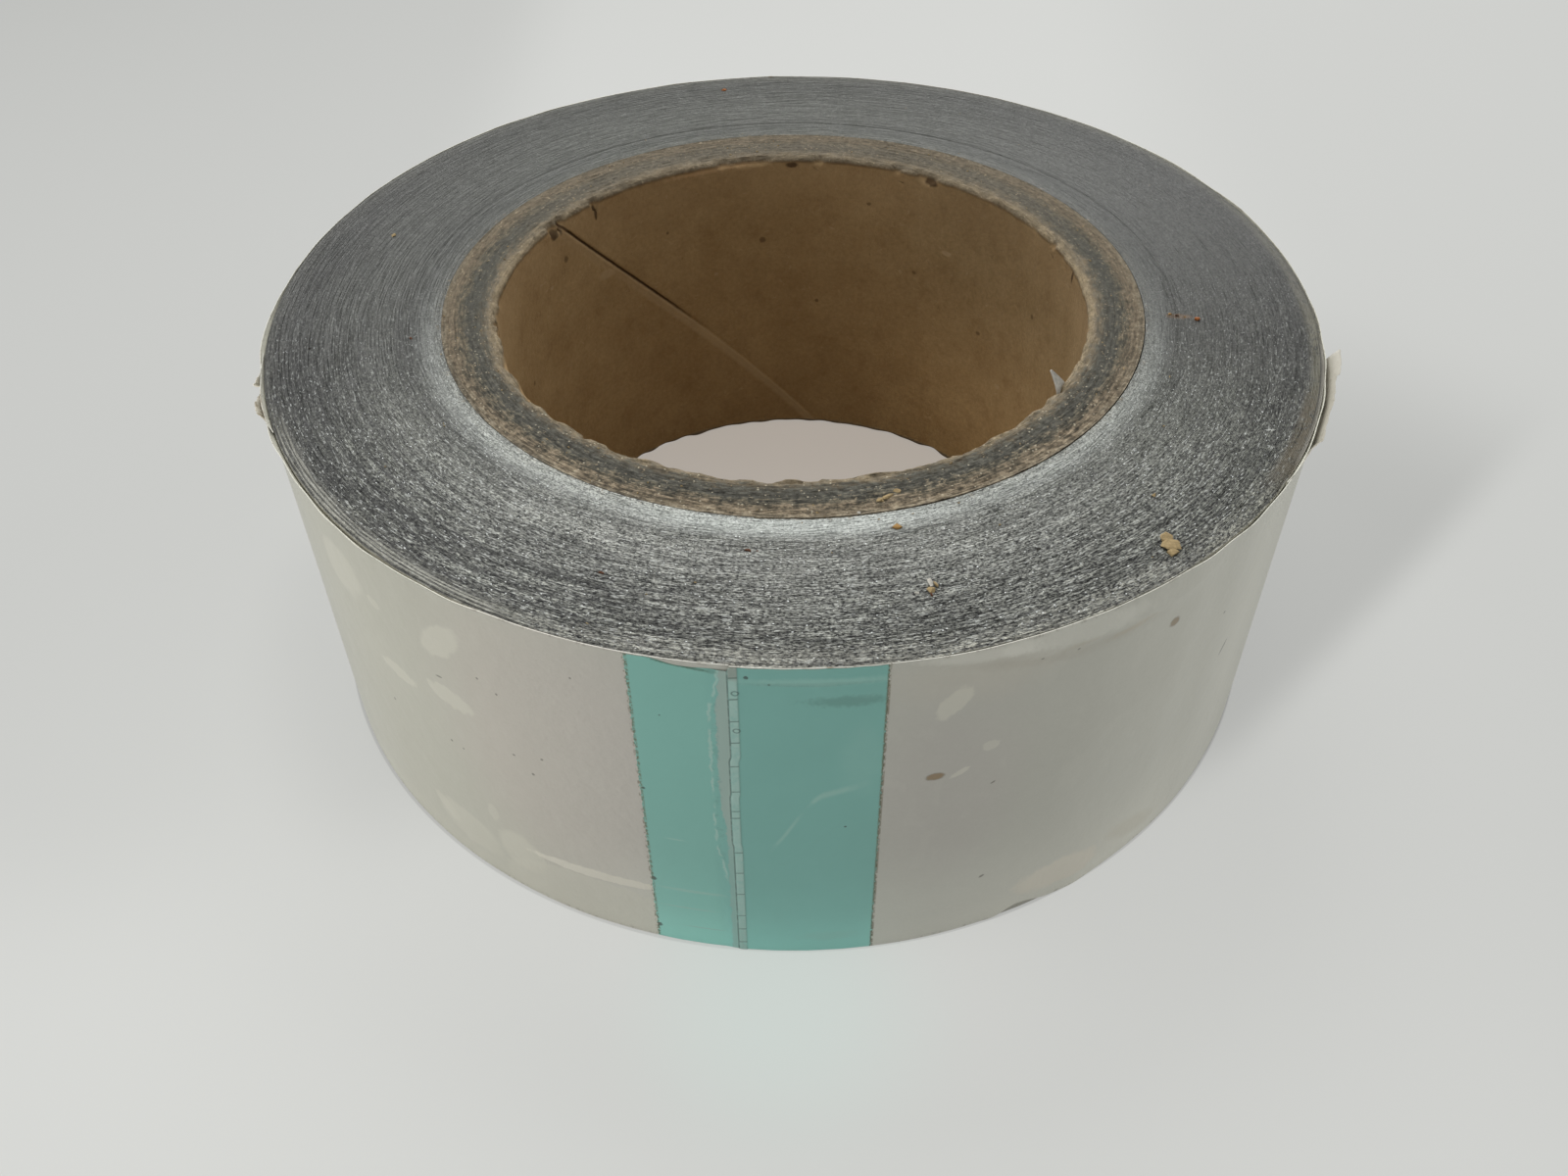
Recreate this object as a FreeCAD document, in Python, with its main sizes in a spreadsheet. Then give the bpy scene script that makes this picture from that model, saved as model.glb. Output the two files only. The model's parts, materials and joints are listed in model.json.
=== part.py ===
import FreeCAD, Part

import math
import os

import Sketcher
from FreeCAD import Placement, Rotation, Vector

# A roll of aluminium foil tape, standing on its end: Z is the axis of the roll and z = 0 is the
# face it stands on. The tape ends at the front (-Y), under a short film tab.

DRIVING_SIZES = [
    # paperboard core
    ("core_bore", 76.2, "inside diameter of the core"),
    ("core_wall", 7.0, "wall of the core"),
    ("rim_wear", 0.5, "worn corner of the core's bore"),
    ("ply_count", 2, "plies told apart on the end of the core"),
    ("ply_gap", 0.3, "width of the gap between two plies"),
    ("ply_gap_depth", 0.25, "depth of the gap between two plies"),
    ("core_seam_gap", 0.9, "width of the gap between the edges of the inner ply"),
    ("core_seam_depth", 0.35, "depth of that gap"),
    ("core_seam_pitch", 252.0, "rise of the inner ply in one turn"),
    ("core_seam_start", 82.0, "angle of that gap at the foot of the core, degrees"),
    # wound tape
    ("tape_width", 50.0, "width of the tape, height of the roll"),
    ("foil_thickness", 0.08, "foil with its adhesive"),
    ("liner_thickness", 0.087, "release liner"),
    ("turn_count", 130, "turns of tape on the core"),
    ("last_turn_slack", 0.05, "how loose the last turn of the liner lies on the roll"),
    ("tape_end_angle", -95.3, "angle at which the tape ends, degrees"),
    ("bundle_count", 7, "bundles of turns told apart on each end of the roll"),
    ("bundle_gap", 0.45, "width of the gap between two bundles"),
    ("bundle_gap_depth", 0.3, "depth of the gap between two bundles"),
    # torn edge of the liner
    ("tear_drop", 1.9, "how far down the liner is torn"),
    ("flap_reach", 2.1, "how far the long flap leans out"),
    ("flap_start", -38.0, "angle at which the long flap starts, degrees"),
    ("flap_sweep", 27.6, "angle that the long flap spans"),
    ("tongue_reach", 1.3, "how far the short tongues lean out"),
    ("tongue_start", -166.0, "angle at which the tongues start, degrees"),
    ("tongue_sweep", 13.0, "angle that the tongues span"),
    # film tab
    ("film_thickness", 0.06, "film of the end tab"),
    ("tab_lead", 15.5, "length of the tab on the last turn"),
    ("tab_tail", 10.0, "length of the tab past the end of the tape"),
    ("tab_tent", 2.2, "length of the tab that bridges the step at the end of the tape"),
    ("tab_inset", 0.25, "how far the tab stays inside the edges of the tape"),
]

# Sizes that follow from them, as expressions
CORE_RADIUS = "(Sizes.core_bore / 2 + Sizes.core_wall)"
TURN = "(Sizes.foil_thickness + Sizes.liner_thickness)"
FOIL_RADIUS = f"({CORE_RADIUS} + Sizes.turn_count * {TURN} - Sizes.liner_thickness)"
LINER_BORE = f"({FOIL_RADIUS} + Sizes.last_turn_slack)"
LINER_RADIUS = f"({LINER_BORE} + Sizes.liner_thickness)"
QUARTER_TURNS_IN = f"(3 * {TURN} / 4)"
TOP = "(Sizes.tape_width / 2)"
TEAR_LEVEL = f"({TOP} - Sizes.tear_drop)"
LAST_TURN_ANGLE = "(Sizes.tape_end_angle + 90)"

doc = FreeCAD.newDocument("FoilTapeRoll")
sizes = doc.addObject("Spreadsheet::Sheet", "Sizes")
for row, (alias, number, note) in enumerate(DRIVING_SIZES, start=1):
    sizes.set(f"A{row}", note)
    sizes.set(f"B{row}", str(number))
    sizes.setAlias(f"B{row}", alias)
doc.recompute()


def value(expression):
    """The number that an expression comes to."""
    result = sizes.evalExpression(expression)
    return float(getattr(result, "Value", result))


def drive(sketch, kind, *where_and_size):
    """A dimension of a sketch that follows an expression."""
    *where, size = where_and_size
    index = sketch.addConstraint(Sketcher.Constraint(kind, *where, value(size)))
    sketch.setExpression(f"Constraints[{index}]", size)


def drive_point(sketch, geometry, end, x, y):
    """Holds a point of a sketch at x, y from the origin."""
    drive(sketch, "DistanceX", -1, 1, geometry, end, x)
    drive(sketch, "DistanceY", -1, 1, geometry, end, y)


def new_body(name, turned="0"):
    """A body centred on its XY plane, lifted so that the roll stands on z = 0."""
    body = doc.addObject("PartDesign::Body", name)
    body.Label = name
    body.setExpression("Placement.Base.z", TOP)
    body.setExpression("Placement.Rotation.Angle", turned)
    return body


def new_sketch(body, name, role="XY_Plane"):
    """A sketch on one of the body's own origin planes."""
    plane = next(part for part in body.Origin.OriginFeatures if part.Role == role)
    sketch = body.newObject("Sketcher::SketchObject", name)
    sketch.AttachmentSupport = (plane, "")
    sketch.MapMode = "FlatFace"
    return sketch


def pad_both_ways(body, sketch, name, length):
    """Pads a sketch by half of the length on each side of its plane."""
    pad = body.newObject("PartDesign::Pad", name)
    pad.Profile = sketch
    pad.SideType = "Symmetric"
    pad.setExpression("Length", length)
    return pad


def mirror_to_other_end(body, features, name):
    """Repeats features of the top end on the bottom end."""
    mirrored = body.newObject("PartDesign::Mirrored", name)
    mirrored.Originals = features
    plane = next(part for part in body.Origin.OriginFeatures if part.Role == "XY_Plane")
    mirrored.MirrorPlane = (plane, [""])
    body.Tip = mirrored
    return mirrored


def polygon(sketch, corners):
    """A closed outline with straight sides, each corner held by its x and y expressions."""
    places = [Vector(value(x), value(y), 0) for x, y in corners]
    first = None
    for number, (x, y) in enumerate(corners):
        side = Part.LineSegment(places[number], places[(number + 1) % len(places)])
        index = sketch.addGeometry(side, False)
        first = index if first is None else first
        drive_point(sketch, index, 1, x, y)
    for number in range(len(corners)):
        following = first + (number + 1) % len(corners)
        sketch.addConstraint(Sketcher.Constraint("Coincident", first + number, 2, following, 1))


def polar(radius, angle):
    """x and y expressions of a point given by its radius and angle."""
    return f"{radius} * cos({angle})", f"{radius} * sin({angle})"


def spiral(sketch, radius, step, turns=1):
    """A spiral that comes in by one step in each turn, as four tangent arcs a turn.

    The centres are the corners of a square with a quarter of the step as its side, so each arc
    is smaller than the one before it by that side. The spiral starts and ends at -Y.
    """
    half_side = f"({step} / 8)"
    corners = [(-1, -1), (1, -1), (1, 1), (-1, 1)]
    arcs = []
    for number in range(4 * turns):
        across, along = corners[number % 4]
        centre = Vector(across * value(half_side), along * value(half_side), 0)
        circle = Part.Circle(centre, Vector(0, 0, 1), value(radius) - number * value(step) / 4)
        start = math.radians(90 * (number % 4 - 1))
        arc = sketch.addGeometry(Part.ArcOfCircle(circle, start, start + math.pi / 2), False)
        drive_point(sketch, arc, 3, f"{across} * {half_side}", f"{along} * {half_side}")
        if arcs:
            sketch.addConstraint(Sketcher.Constraint("Coincident", arcs[-1], 2, arc, 1))
        else:
            drive(sketch, "Radius", arc, radius)
            sketch.addConstraint(Sketcher.Constraint("Vertical", arc, 3, arc, 1))
        level = "Horizontal" if number % 2 == 0 else "Vertical"
        sketch.addConstraint(Sketcher.Constraint(level, arc, 3, arc, 2))
        arcs.append(arc)
    return arcs


def join(sketch, geometry, end, other, other_end):
    """A straight line from one end of an arc to an end of another."""
    points = sketch.getPoint(geometry, end), sketch.getPoint(other, other_end)
    line = sketch.addGeometry(Part.LineSegment(*points), False)
    sketch.addConstraint(Sketcher.Constraint("Coincident", line, 1, geometry, end))
    sketch.addConstraint(Sketcher.Constraint("Coincident", line, 2, other, other_end))


def circle_round_axis(sketch, radius):
    """A circle about the axis of the roll."""
    circle = Part.Circle(Vector(0, 0, 0), Vector(0, 0, 1), value(radius))
    index = sketch.addGeometry(circle, False)
    sketch.addConstraint(Sketcher.Constraint("Coincident", index, 3, -1, 1))
    drive(sketch, "Radius", index, radius)


def groove_rings(body, name, radii, gap, depth):
    """V grooves round the axis in the top end, repeated in the bottom end."""
    sketch = new_sketch(body, name + "_section", "XZ_Plane")
    for radius in radii:
        corners = [(f"{radius} - {gap} / 2", TOP), (radius, f"{TOP} - {depth}"), (f"{radius} + {gap} / 2", TOP)]
        polygon(sketch, corners)
    groove = body.newObject("PartDesign::Groove", name)
    groove.Profile = sketch
    groove.ReferenceAxis = (sketch, ["V_Axis"])
    groove.Angle = 360
    mirror_to_other_end(body, [groove], name + "_both_ends")


def core_tube():
    """Spiral-wound paperboard tube, its plies open on both ends and its inner seam in the bore."""
    body = new_body("core_tube", "Sizes.core_seam_start")
    sketch = new_sketch(body, "core_section", "XZ_Plane")
    bore, wear = "Sizes.core_bore / 2", "Sizes.rim_wear"
    polygon(sketch, [
        (bore, f"-{TOP} + {wear}"), (f"{bore} + {wear}", f"-{TOP}"), (CORE_RADIUS, f"-{TOP}"),
        (CORE_RADIUS, TOP), (f"{bore} + {wear}", TOP), (bore, f"{TOP} - {wear}"),
    ])
    tube = body.newObject("PartDesign::Revolution", "wound_board")
    tube.Profile = sketch
    tube.ReferenceAxis = (sketch, ["V_Axis"])
    tube.Angle = 360

    ply = "Sizes.core_wall / Sizes.ply_count"
    plies = int(value("Sizes.ply_count"))
    radii = [f"({bore} + {number} * {ply})" for number in range(1, plies)]
    groove_rings(body, "ply_gaps", radii, "Sizes.ply_gap", "Sizes.ply_gap_depth")

    seam_sketch = new_sketch(body, "core_seam_section", "XZ_Plane")
    low = f"-{TOP} - Sizes.core_seam_gap"
    half_gap = "Sizes.core_seam_gap / 2 / cos(45)"
    polygon(seam_sketch, [
        (f"{bore} - Sizes.core_seam_depth", f"{low} - {half_gap}"),
        (f"{bore} + Sizes.core_seam_depth", low),
        (f"{bore} - Sizes.core_seam_depth", f"{low} + {half_gap}"),
    ])
    seam = body.newObject("PartDesign::SubtractiveHelix", "core_seam")
    seam.Profile = seam_sketch
    seam.ReferenceAxis = (seam_sketch, ["V_Axis"])
    seam.Mode = "pitch-height-angle"
    seam.setExpression("Pitch", "Sizes.core_seam_pitch")
    seam.setExpression("Height", f"2 * {TOP} + 2 * Sizes.core_seam_gap")
    return body


def foil_winding():
    """All turns of the foil, its adhesive and the liner between them, as one spiral-edged solid."""
    body = new_body("foil_winding", LAST_TURN_ANGLE)
    sketch = new_sketch(body, "turns_outline")
    circle_round_axis(sketch, CORE_RADIUS)
    arcs = spiral(sketch, FOIL_RADIUS, TURN)
    join(sketch, arcs[-1], 2, arcs[0], 1)
    pad_both_ways(body, sketch, "wound_turns", "Sizes.tape_width")

    bundle = f"(({FOIL_RADIUS} - {CORE_RADIUS}) / Sizes.bundle_count)"
    path = new_sketch(body, "bundle_gap_path")
    path.setExpression("AttachmentOffset.Base.z", TOP)
    spiral(path, f"({FOIL_RADIUS} - {bundle} / 2)", bundle, int(value("Sizes.bundle_count")) - 1)
    section = new_sketch(body, "bundle_gap_section", "YZ_Plane")
    section.setExpression("AttachmentOffset.Base.z", f"-{bundle} / 8")
    middle = f"-({FOIL_RADIUS} - {bundle} / 2 + {bundle} / 8)"
    polygon(section, [
        (f"{middle} - Sizes.bundle_gap / 2", f"{TOP}"), (middle, f"{TOP} - Sizes.bundle_gap_depth"),
        (f"{middle} + Sizes.bundle_gap / 2", f"{TOP}"),
    ])
    gap = body.newObject("PartDesign::SubtractivePipe", "bundle_gap")
    gap.Profile = section
    gap.Spine = (path, [])
    gap.Mode = "Binormal"
    gap.Binormal = Vector(0, 0, 1)
    mirror_to_other_end(body, [gap], "bundle_gap_both_ends")
    return body


def section_at(body, name, angle):
    """A sketch in the half plane of the roll's axis that stands at an angle of the whole part."""
    turned = f"({angle} - {LAST_TURN_ANGLE})"
    sketch = new_sketch(body, name, "XZ_Plane")
    sketch.AttachmentOffset = Placement(Vector(0, 0, 0), Rotation(Vector(0, 1, 0), value(turned)))
    sketch.setExpression("AttachmentOffset.Rotation.Angle", turned)
    return sketch


def torn_band(body, name, radius, start, sweep):
    """Takes the top of the liner away over a sweep, where the torn paper has folded outward."""
    sketch = section_at(body, name + "_section", start)
    polygon(sketch, [
        (f"{radius} - {TURN}", TEAR_LEVEL), (f"{radius} + {TURN}", TEAR_LEVEL),
        (f"{radius} + {TURN}", f"{TOP} + {TURN}"), (f"{radius} - {TURN}", f"{TOP} + {TURN}"),
    ])
    band = body.newObject("PartDesign::Groove", name)
    band.Profile = sketch
    band.ReferenceAxis = (sketch, ["V_Axis"])
    band.setExpression("Angle", sweep)
    return band


def leaning_paper(body, name, radius, start, sweep, reach):
    """A strip of the torn liner that leans out from the wall, folded at the level of the tear."""
    sketch = section_at(body, name + "_section", start)
    outer = f"({radius} + Sizes.liner_thickness)"
    fold = f"({TEAR_LEVEL} - 2 * Sizes.liner_thickness)"
    polygon(sketch, [
        (radius, fold), (outer, fold), (f"{outer} + {reach}", TOP),
        (f"{outer} + {reach} - Sizes.liner_thickness", TOP), (radius, TEAR_LEVEL),
    ])
    strip = body.newObject("PartDesign::Revolution", name)
    strip.Profile = sketch
    strip.ReferenceAxis = (sketch, ["V_Axis"])
    strip.setExpression("Angle", sweep)
    return strip


def torn_edge(body, name, wall, reach, start, sweep, edge):
    """Cuts the leaning paper to a torn outline, seen from above.

    Each point of the edge is a share of the reach, out from the wall, and a share of the sweep.
    The outline is closed by an arc of points that lie clear outside of the paper.
    """
    clear = [(3.0, share) for share in (1.05, 0.75, 0.5, 0.25, -0.05)]
    corners = [
        polar(f"({wall} + {out} * {reach})", f"({start} + {along} * {sweep} - {LAST_TURN_ANGLE})")
        for out, along in edge + clear
    ]
    sketch = new_sketch(body, name + "_outline")
    polygon(sketch, corners)
    trim = body.newObject("PartDesign::Pocket", name)
    trim.Profile = sketch
    trim.SideType = "Symmetric"
    trim.setExpression("Length", "2 * Sizes.tape_width")


def release_liner():
    """The last turn of the liner paper, with a long flap and two tongues torn from its top edge."""
    body = new_body("release_liner", LAST_TURN_ANGLE)
    sketch = new_sketch(body, "liner_outline")
    outer = spiral(sketch, LINER_RADIUS, TURN)
    inner = spiral(sketch, LINER_BORE, TURN)
    join(sketch, outer[-1], 2, inner[-1], 2)
    join(sketch, outer[0], 1, inner[0], 1)
    pad_both_ways(body, sketch, "last_turn", "Sizes.tape_width")

    flap_edge = [(0.02, 0.0), (0.6, 0.36), (0.5, 0.59), (0.62, 0.76), (0.99, 0.97), (0.05, 0.95), (0.05, 1.05)]
    tongue_edge = [(0.02, 0.0), (0.8, 0.13), (0.05, 0.2), (0.05, 0.28), (0.99, 0.36), (0.7, 0.55), (0.02, 1.0)]
    for name, radius, edge in (
        ("flap", LINER_BORE, flap_edge), ("tongue", f"({LINER_BORE} - {QUARTER_TURNS_IN})", tongue_edge),
    ):
        reach, start, sweep = f"Sizes.{name}_reach", f"Sizes.{name}_start", f"Sizes.{name}_sweep"
        torn_band(body, name + "_tear", radius, start, sweep)
        leaning_paper(body, name, radius, start, sweep, reach)
        wall = f"({radius} + Sizes.liner_thickness)"
        torn_edge(body, name + "_edge", wall, reach, start, sweep, edge)
    return body


def short_arc(sketch, radius, along, first, last):
    """An arc about one of the spiral's centres, its ends at angles measured from -Y."""
    shift = f"({TURN} / 8)"
    centre = Vector(-value(shift), along * value(shift), 0)
    begin, finish = (math.radians(value(angle) - 90) for angle in (first, last))
    circle = Part.Circle(centre, Vector(0, 0, 1), value(radius))
    arc = sketch.addGeometry(Part.ArcOfCircle(circle, begin, finish), False)
    drive_point(sketch, arc, 3, f"-{shift}", f"{along} * {shift}")
    drive(sketch, "Radius", arc, radius)
    for end, angle in ((1, first), (2, last)):
        drive(sketch, "DistanceX", -1, 1, arc, end, f"{radius} * sin({angle}) - {shift}")
    return arc


def end_tab():
    """Film stuck over the end of the tape, bridging the step from the last turn to the one below."""
    body = new_body("end_tab", LAST_TURN_ANGLE)
    sketch = new_sketch(body, "tab_outline")
    degrees = f"(180 / pi / {LINER_RADIUS})"
    lead = f"(Sizes.tab_lead * {degrees})"
    tail, tent = f"(-Sizes.tab_tail * {degrees})", f"(-Sizes.tab_tent * {degrees})"
    below = f"({LINER_RADIUS} - {QUARTER_TURNS_IN})"
    film = "Sizes.film_thickness"
    high = [short_arc(sketch, f"({LINER_RADIUS} + {layer})", -1, "0", lead) for layer in ("0", film)]
    low = [short_arc(sketch, f"({below} + {layer})", 1, tail, tent) for layer in ("0", film)]
    join(sketch, high[0], 2, high[1], 2)
    join(sketch, low[0], 1, low[1], 1)
    for face in range(2):
        join(sketch, low[face], 2, high[face], 1)
    pad_both_ways(body, sketch, "film", "Sizes.tape_width - 2 * Sizes.tab_inset")
    return body


def check(bodies):
    """Stops on any failed object or unsound solid, before anything is written."""
    for item in doc.Objects:
        if "Invalid" in item.State or "Error" in item.State:
            raise RuntimeError(f"{item.Name} failed: {item.State}")
    for body in bodies:
        if body.Shape.isNull() or not body.Shape.isValid() or len(body.Shape.Solids) != 1:
            raise RuntimeError(f"{body.Label} isn't one sound solid")


bodies = [core_tube(), foil_winding(), release_liner(), end_tab()]
doc.recompute()
check(bodies)
os.makedirs("parts", exist_ok=True)
for body in bodies:
    body.Shape.exportStep(f"parts/{body.Label}.step")
    print(f"{body.Label}: {body.Shape.Volume:.1f} mm3")
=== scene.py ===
import json
import math

import bmesh
import bpy
import numpy as np
from mathutils import Matrix, Vector


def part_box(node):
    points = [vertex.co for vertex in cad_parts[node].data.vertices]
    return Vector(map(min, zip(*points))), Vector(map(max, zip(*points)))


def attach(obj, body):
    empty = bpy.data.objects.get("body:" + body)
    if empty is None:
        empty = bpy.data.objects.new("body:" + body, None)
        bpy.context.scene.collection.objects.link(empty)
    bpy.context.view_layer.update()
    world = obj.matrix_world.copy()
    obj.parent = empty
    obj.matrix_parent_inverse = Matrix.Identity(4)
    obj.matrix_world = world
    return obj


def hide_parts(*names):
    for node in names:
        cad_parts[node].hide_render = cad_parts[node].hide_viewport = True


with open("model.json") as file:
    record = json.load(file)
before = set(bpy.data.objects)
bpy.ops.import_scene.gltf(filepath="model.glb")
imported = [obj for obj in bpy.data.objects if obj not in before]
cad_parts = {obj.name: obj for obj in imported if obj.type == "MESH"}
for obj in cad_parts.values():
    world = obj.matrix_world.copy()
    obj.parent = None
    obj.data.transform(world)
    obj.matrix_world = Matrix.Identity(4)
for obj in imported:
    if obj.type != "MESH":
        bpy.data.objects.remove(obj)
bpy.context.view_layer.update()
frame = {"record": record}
print("frame loaded")

# lengths are in millimetres up to addPiece, angles in degrees, seen from above, 0 at +X
mm = 0.001
coreBore = next(mount for mount in frame["record"]["mounts"] if mount["name"] == "core_bore")
roll = {
    "height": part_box("foil_winding")[1].z / mm,
    "boreRadius": coreBore["dims"]["r_mm"],
    "coreRadius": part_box("core_tube")[1].x / mm,
    "foilRadius": -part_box("foil_winding")[0].y / mm,
    "linerRadius": -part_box("release_liner")[0].y / mm,
    "tapeThickness": 0.167,
    "linerThickness": 0.087,
    "filmThickness": 0.06,
    "tapeEnd": -95.3,       # where the tape ends, under the film tab
    "tabLead": 15.5,        # the film reaches this far right of the tape's end, on the last turn
    "tabTail": 10.4,        # and this far left of it, on the turn below
}


def wander(seed, angle, lowest, highest, fall=0.7):
    # a smooth random value round the roll, about -1 to 1
    rng = np.random.default_rng(seed)
    total, power = np.zeros_like(angle), 0.0
    for wave in range(lowest, highest + 1):
        size = wave ** -fall
        total = total + size * np.cos(wave * angle + rng.uniform(0, 2 * math.pi))
        power += size * size
    return total / math.sqrt(2 * power) * 0.9


def bump(value, middle, width):
    # 1 at the middle, falling softly to 0 a width away
    near = np.clip(1 - np.abs(value - middle) / width, 0, 1)
    return near * near * (3 - 2 * near)


def rise(value, start, end):
    # 0 before start, 1 after end, soft between
    share = np.clip((value - start) / (end - start), 0, 1)
    return share * share * (3 - 2 * share)


def between(value, start, full, fading, end):
    # 1 from full to fading, 0 outside start and end
    return rise(value, start, full) * rise(-value, -end, -fading)


def direction(angle):
    turn = math.radians(angle)
    return np.array((math.cos(turn), math.sin(turn), 0))


def ringPoints(radius, angle, height):
    turn = np.radians(angle)
    return np.stack([radius * np.cos(turn), radius * np.sin(turn), height + 0 * radius], axis=-1)


def addPiece(name, points, faces, material, node=None, sharp=40):
    mesh = bpy.data.meshes.new(name)
    corners = [list(map(int, face)) for face in faces]
    mesh.from_pydata((np.asarray(points) * mm).tolist(), [], corners)
    mesh.validate()
    mesh.materials.append(material)
    if sharp:
        mesh.polygons.foreach_set("use_smooth", [True] * len(mesh.polygons))
        mesh.set_sharp_from_angle(angle=math.radians(sharp))
    piece = bpy.data.objects.new(name, mesh)
    bpy.context.scene.collection.objects.link(piece)
    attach(piece, "root")
    if node:
        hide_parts(node)
    print(name, len(mesh.polygons), "faces")
    return piece


def sheet(radius, thickness, angle, level):
    # a thin sheet as a closed shell: its outer grid first, then its inner grid, column by column
    points = np.concatenate([ringPoints(out, angle + 0 * level, level).reshape(-1, 3)
                             for out in (radius, radius - thickness)])
    outer = np.arange(level.size).reshape(level.shape)
    inner = outer + level.size
    faces = np.concatenate([np.stack([corner.ravel() for corner in corners], axis=1) for corners in (
        (outer[:-1, :-1], outer[1:, :-1], outer[1:, 1:], outer[:-1, 1:]),
        (inner[:-1, :-1], inner[:-1, 1:], inner[1:, 1:], inner[1:, :-1]),
        (outer[:-1, -1], outer[1:, -1], inner[1:, -1], inner[:-1, -1]),
        (outer[:-1, 0], inner[:-1, 0], inner[1:, 0], outer[1:, 0]),
        (outer[0, :-1], outer[0, 1:], inner[0, 1:], inner[0, :-1]),
        (outer[-1, :-1], inner[-1, :-1], inner[-1, 1:], outer[-1, 1:]),
    )])
    return points, faces


def paint(colour):
    # a colour as read on screen, 0 to 255, in the shader's own units
    if not isinstance(colour, tuple):
        return colour
    shares = [value / 255 for value in colour]
    return (*[s / 12.92 if s <= 0.04045 else ((s + 0.055) / 1.055) ** 2.4 for s in shares], 1)


class Amount:
    # a value that varies over a surface, so that a finish can be written as sums
    def __init__(self, mix, socket):
        self.mix, self.socket = mix, socket

    def __add__(self, other):
        return self.mix.calc("ADD", self, other)

    def __sub__(self, other):
        return self.mix.calc("SUBTRACT", self, other)

    def __mul__(self, other):
        return self.mix.calc("MULTIPLY", self, other)

    def __truediv__(self, other):
        return self.mix.calc("DIVIDE", self, other)

    def __abs__(self):
        return self.mix.calc("ABSOLUTE", self)


class Recipe:
    # mixes one material; tone is its colour so far
    def __init__(self, name):
        self.material = bpy.data.materials.new(name)
        self.material.use_nodes = True
        self.tree = self.material.node_tree
        self.shader = self.tree.nodes["Principled BSDF"]
        where = self.node("ShaderNodeTexCoord").outputs["Object"]
        self.place = self.vector("SCALE", where, scale=1 / mm)
        flat = self.vector("MULTIPLY", self.place, (1, 1, 0))
        self.radius = self.measure("LENGTH", flat)
        self.heading = self.vector("NORMALIZE", flat)
        self.toRight, self.toBack, _ = self.split(self.heading)
        self.x, self.y, self.z = self.split(self.place)
        self.tone, self.edges = None, {}

    def node(self, kind, **settings):
        made = self.tree.nodes.new(kind)
        for key, value in settings.items():
            setattr(made, key, value)
        return made

    def plug(self, socket, value):
        if isinstance(value, Amount):
            value = value.socket
        if isinstance(value, bpy.types.NodeSocket):
            self.tree.links.new(value, socket)
        elif value is not None:
            socket.default_value = value

    def plugAll(self, made, *values):
        for socket, value in zip(made.inputs, values):
            self.plug(socket, value)
        return Amount(self, made.outputs[0])

    def vector(self, operation, a, b=None, scale=None, out="Vector"):
        made = self.node("ShaderNodeVectorMath", operation=operation)
        self.plugAll(made, a, b)
        if operation == "SCALE":
            self.plug(made.inputs["Scale"], scale)
        return made.outputs[out]

    def measure(self, operation, a, b=None):
        return Amount(self, self.vector(operation, a, b, out="Value"))

    def split(self, vector):
        made = self.node("ShaderNodeSeparateXYZ")
        self.plugAll(made, vector)
        return [Amount(self, part) for part in made.outputs]

    def join(self, *parts):
        return self.plugAll(self.node("ShaderNodeCombineXYZ"), *parts).socket

    def calc(self, operation, *values):
        return self.plugAll(self.node("ShaderNodeMath", operation=operation), *values)

    def soft(self, value, low, high, outLow=0.0, outHigh=1.0):
        made = self.node("ShaderNodeMapRange", interpolation_type="SMOOTHSTEP")
        return self.plugAll(made, value, low, high, outLow, outHigh)

    def band(self, value, start, full, fading, end):
        return self.soft(value, start, full) * self.soft(value, end, fading)

    def line(self, value, middle, reach, solid):
        # 1 beside the middle, softly down to 0 at its reach
        return self.soft(abs(value - middle), reach, solid)

    def noise(self, vector, scale=1.0, detail=2.0, rough=0.5, warp=0.0):
        made = self.node("ShaderNodeTexNoise")
        for key, value in (("Vector", vector), ("Scale", scale), ("Detail", detail),
                           ("Roughness", rough), ("Distortion", warp)):
            self.plug(made.inputs[key], value)
        return Amount(self, made.outputs["Fac"])

    def cloud(self, *numbers):
        return self.noise(self.place, *numbers)

    def streaks(self, around, across, *numbers):
        return self.noise(self.polar(around, across), 1.0, *numbers)

    def polar(self, around, across, up=0.0):
        # fine across the turns, long along them, with no seam anywhere round the roll
        deep = self.radius * across
        if up:
            deep = deep + self.z * up
        return self.join(self.toRight * around, self.toBack * around, deep)

    def grits(self, vector, scale, share, size):
        # round grains, kept in only some of the cells
        made = self.node("ShaderNodeTexVoronoi")
        self.plug(made.inputs["Vector"], vector)
        self.plug(made.inputs["Scale"], scale)
        chosen = self.soft(self.split(made.outputs["Color"])[0], 1 - share, 1.06 - share)
        return self.soft(made.outputs["Distance"], 2 * size, size) * chosen

    def blend(self, share, first, second):
        made = self.node("ShaderNodeMix", data_type="RGBA")
        for key, value in (("Factor", share), (6, paint(first)), (7, paint(second))):
            self.plug(made.inputs[key], value)
        return made.outputs[2]

    def ramp(self, share, stops):
        made = self.node("ShaderNodeValToRGB")
        points = made.color_ramp.elements
        while len(points) < len(stops):
            points.new(0.5)
        for point, (position, colour) in zip(points, stops):
            point.position = position
            point.color = colour
        return self.plugAll(made, share).socket

    def coat(self, share, colour):
        # a layer of colour over the tone so far
        self.tone = self.blend(share, self.tone, colour)

    def shade(self, amount):
        self.tone = self.vector("SCALE", self.tone, scale=amount)

    def arc(self, middle, reach, edge=4):
        # everything within some degrees of a direction, seen from the roll's axis
        cosine = self.measure("DOT_PRODUCT", self.heading, direction(middle))
        return self.soft(cosine, math.cos(math.radians(reach + edge)),
                         math.cos(math.radians(max(reach - edge, 0))))

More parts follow.
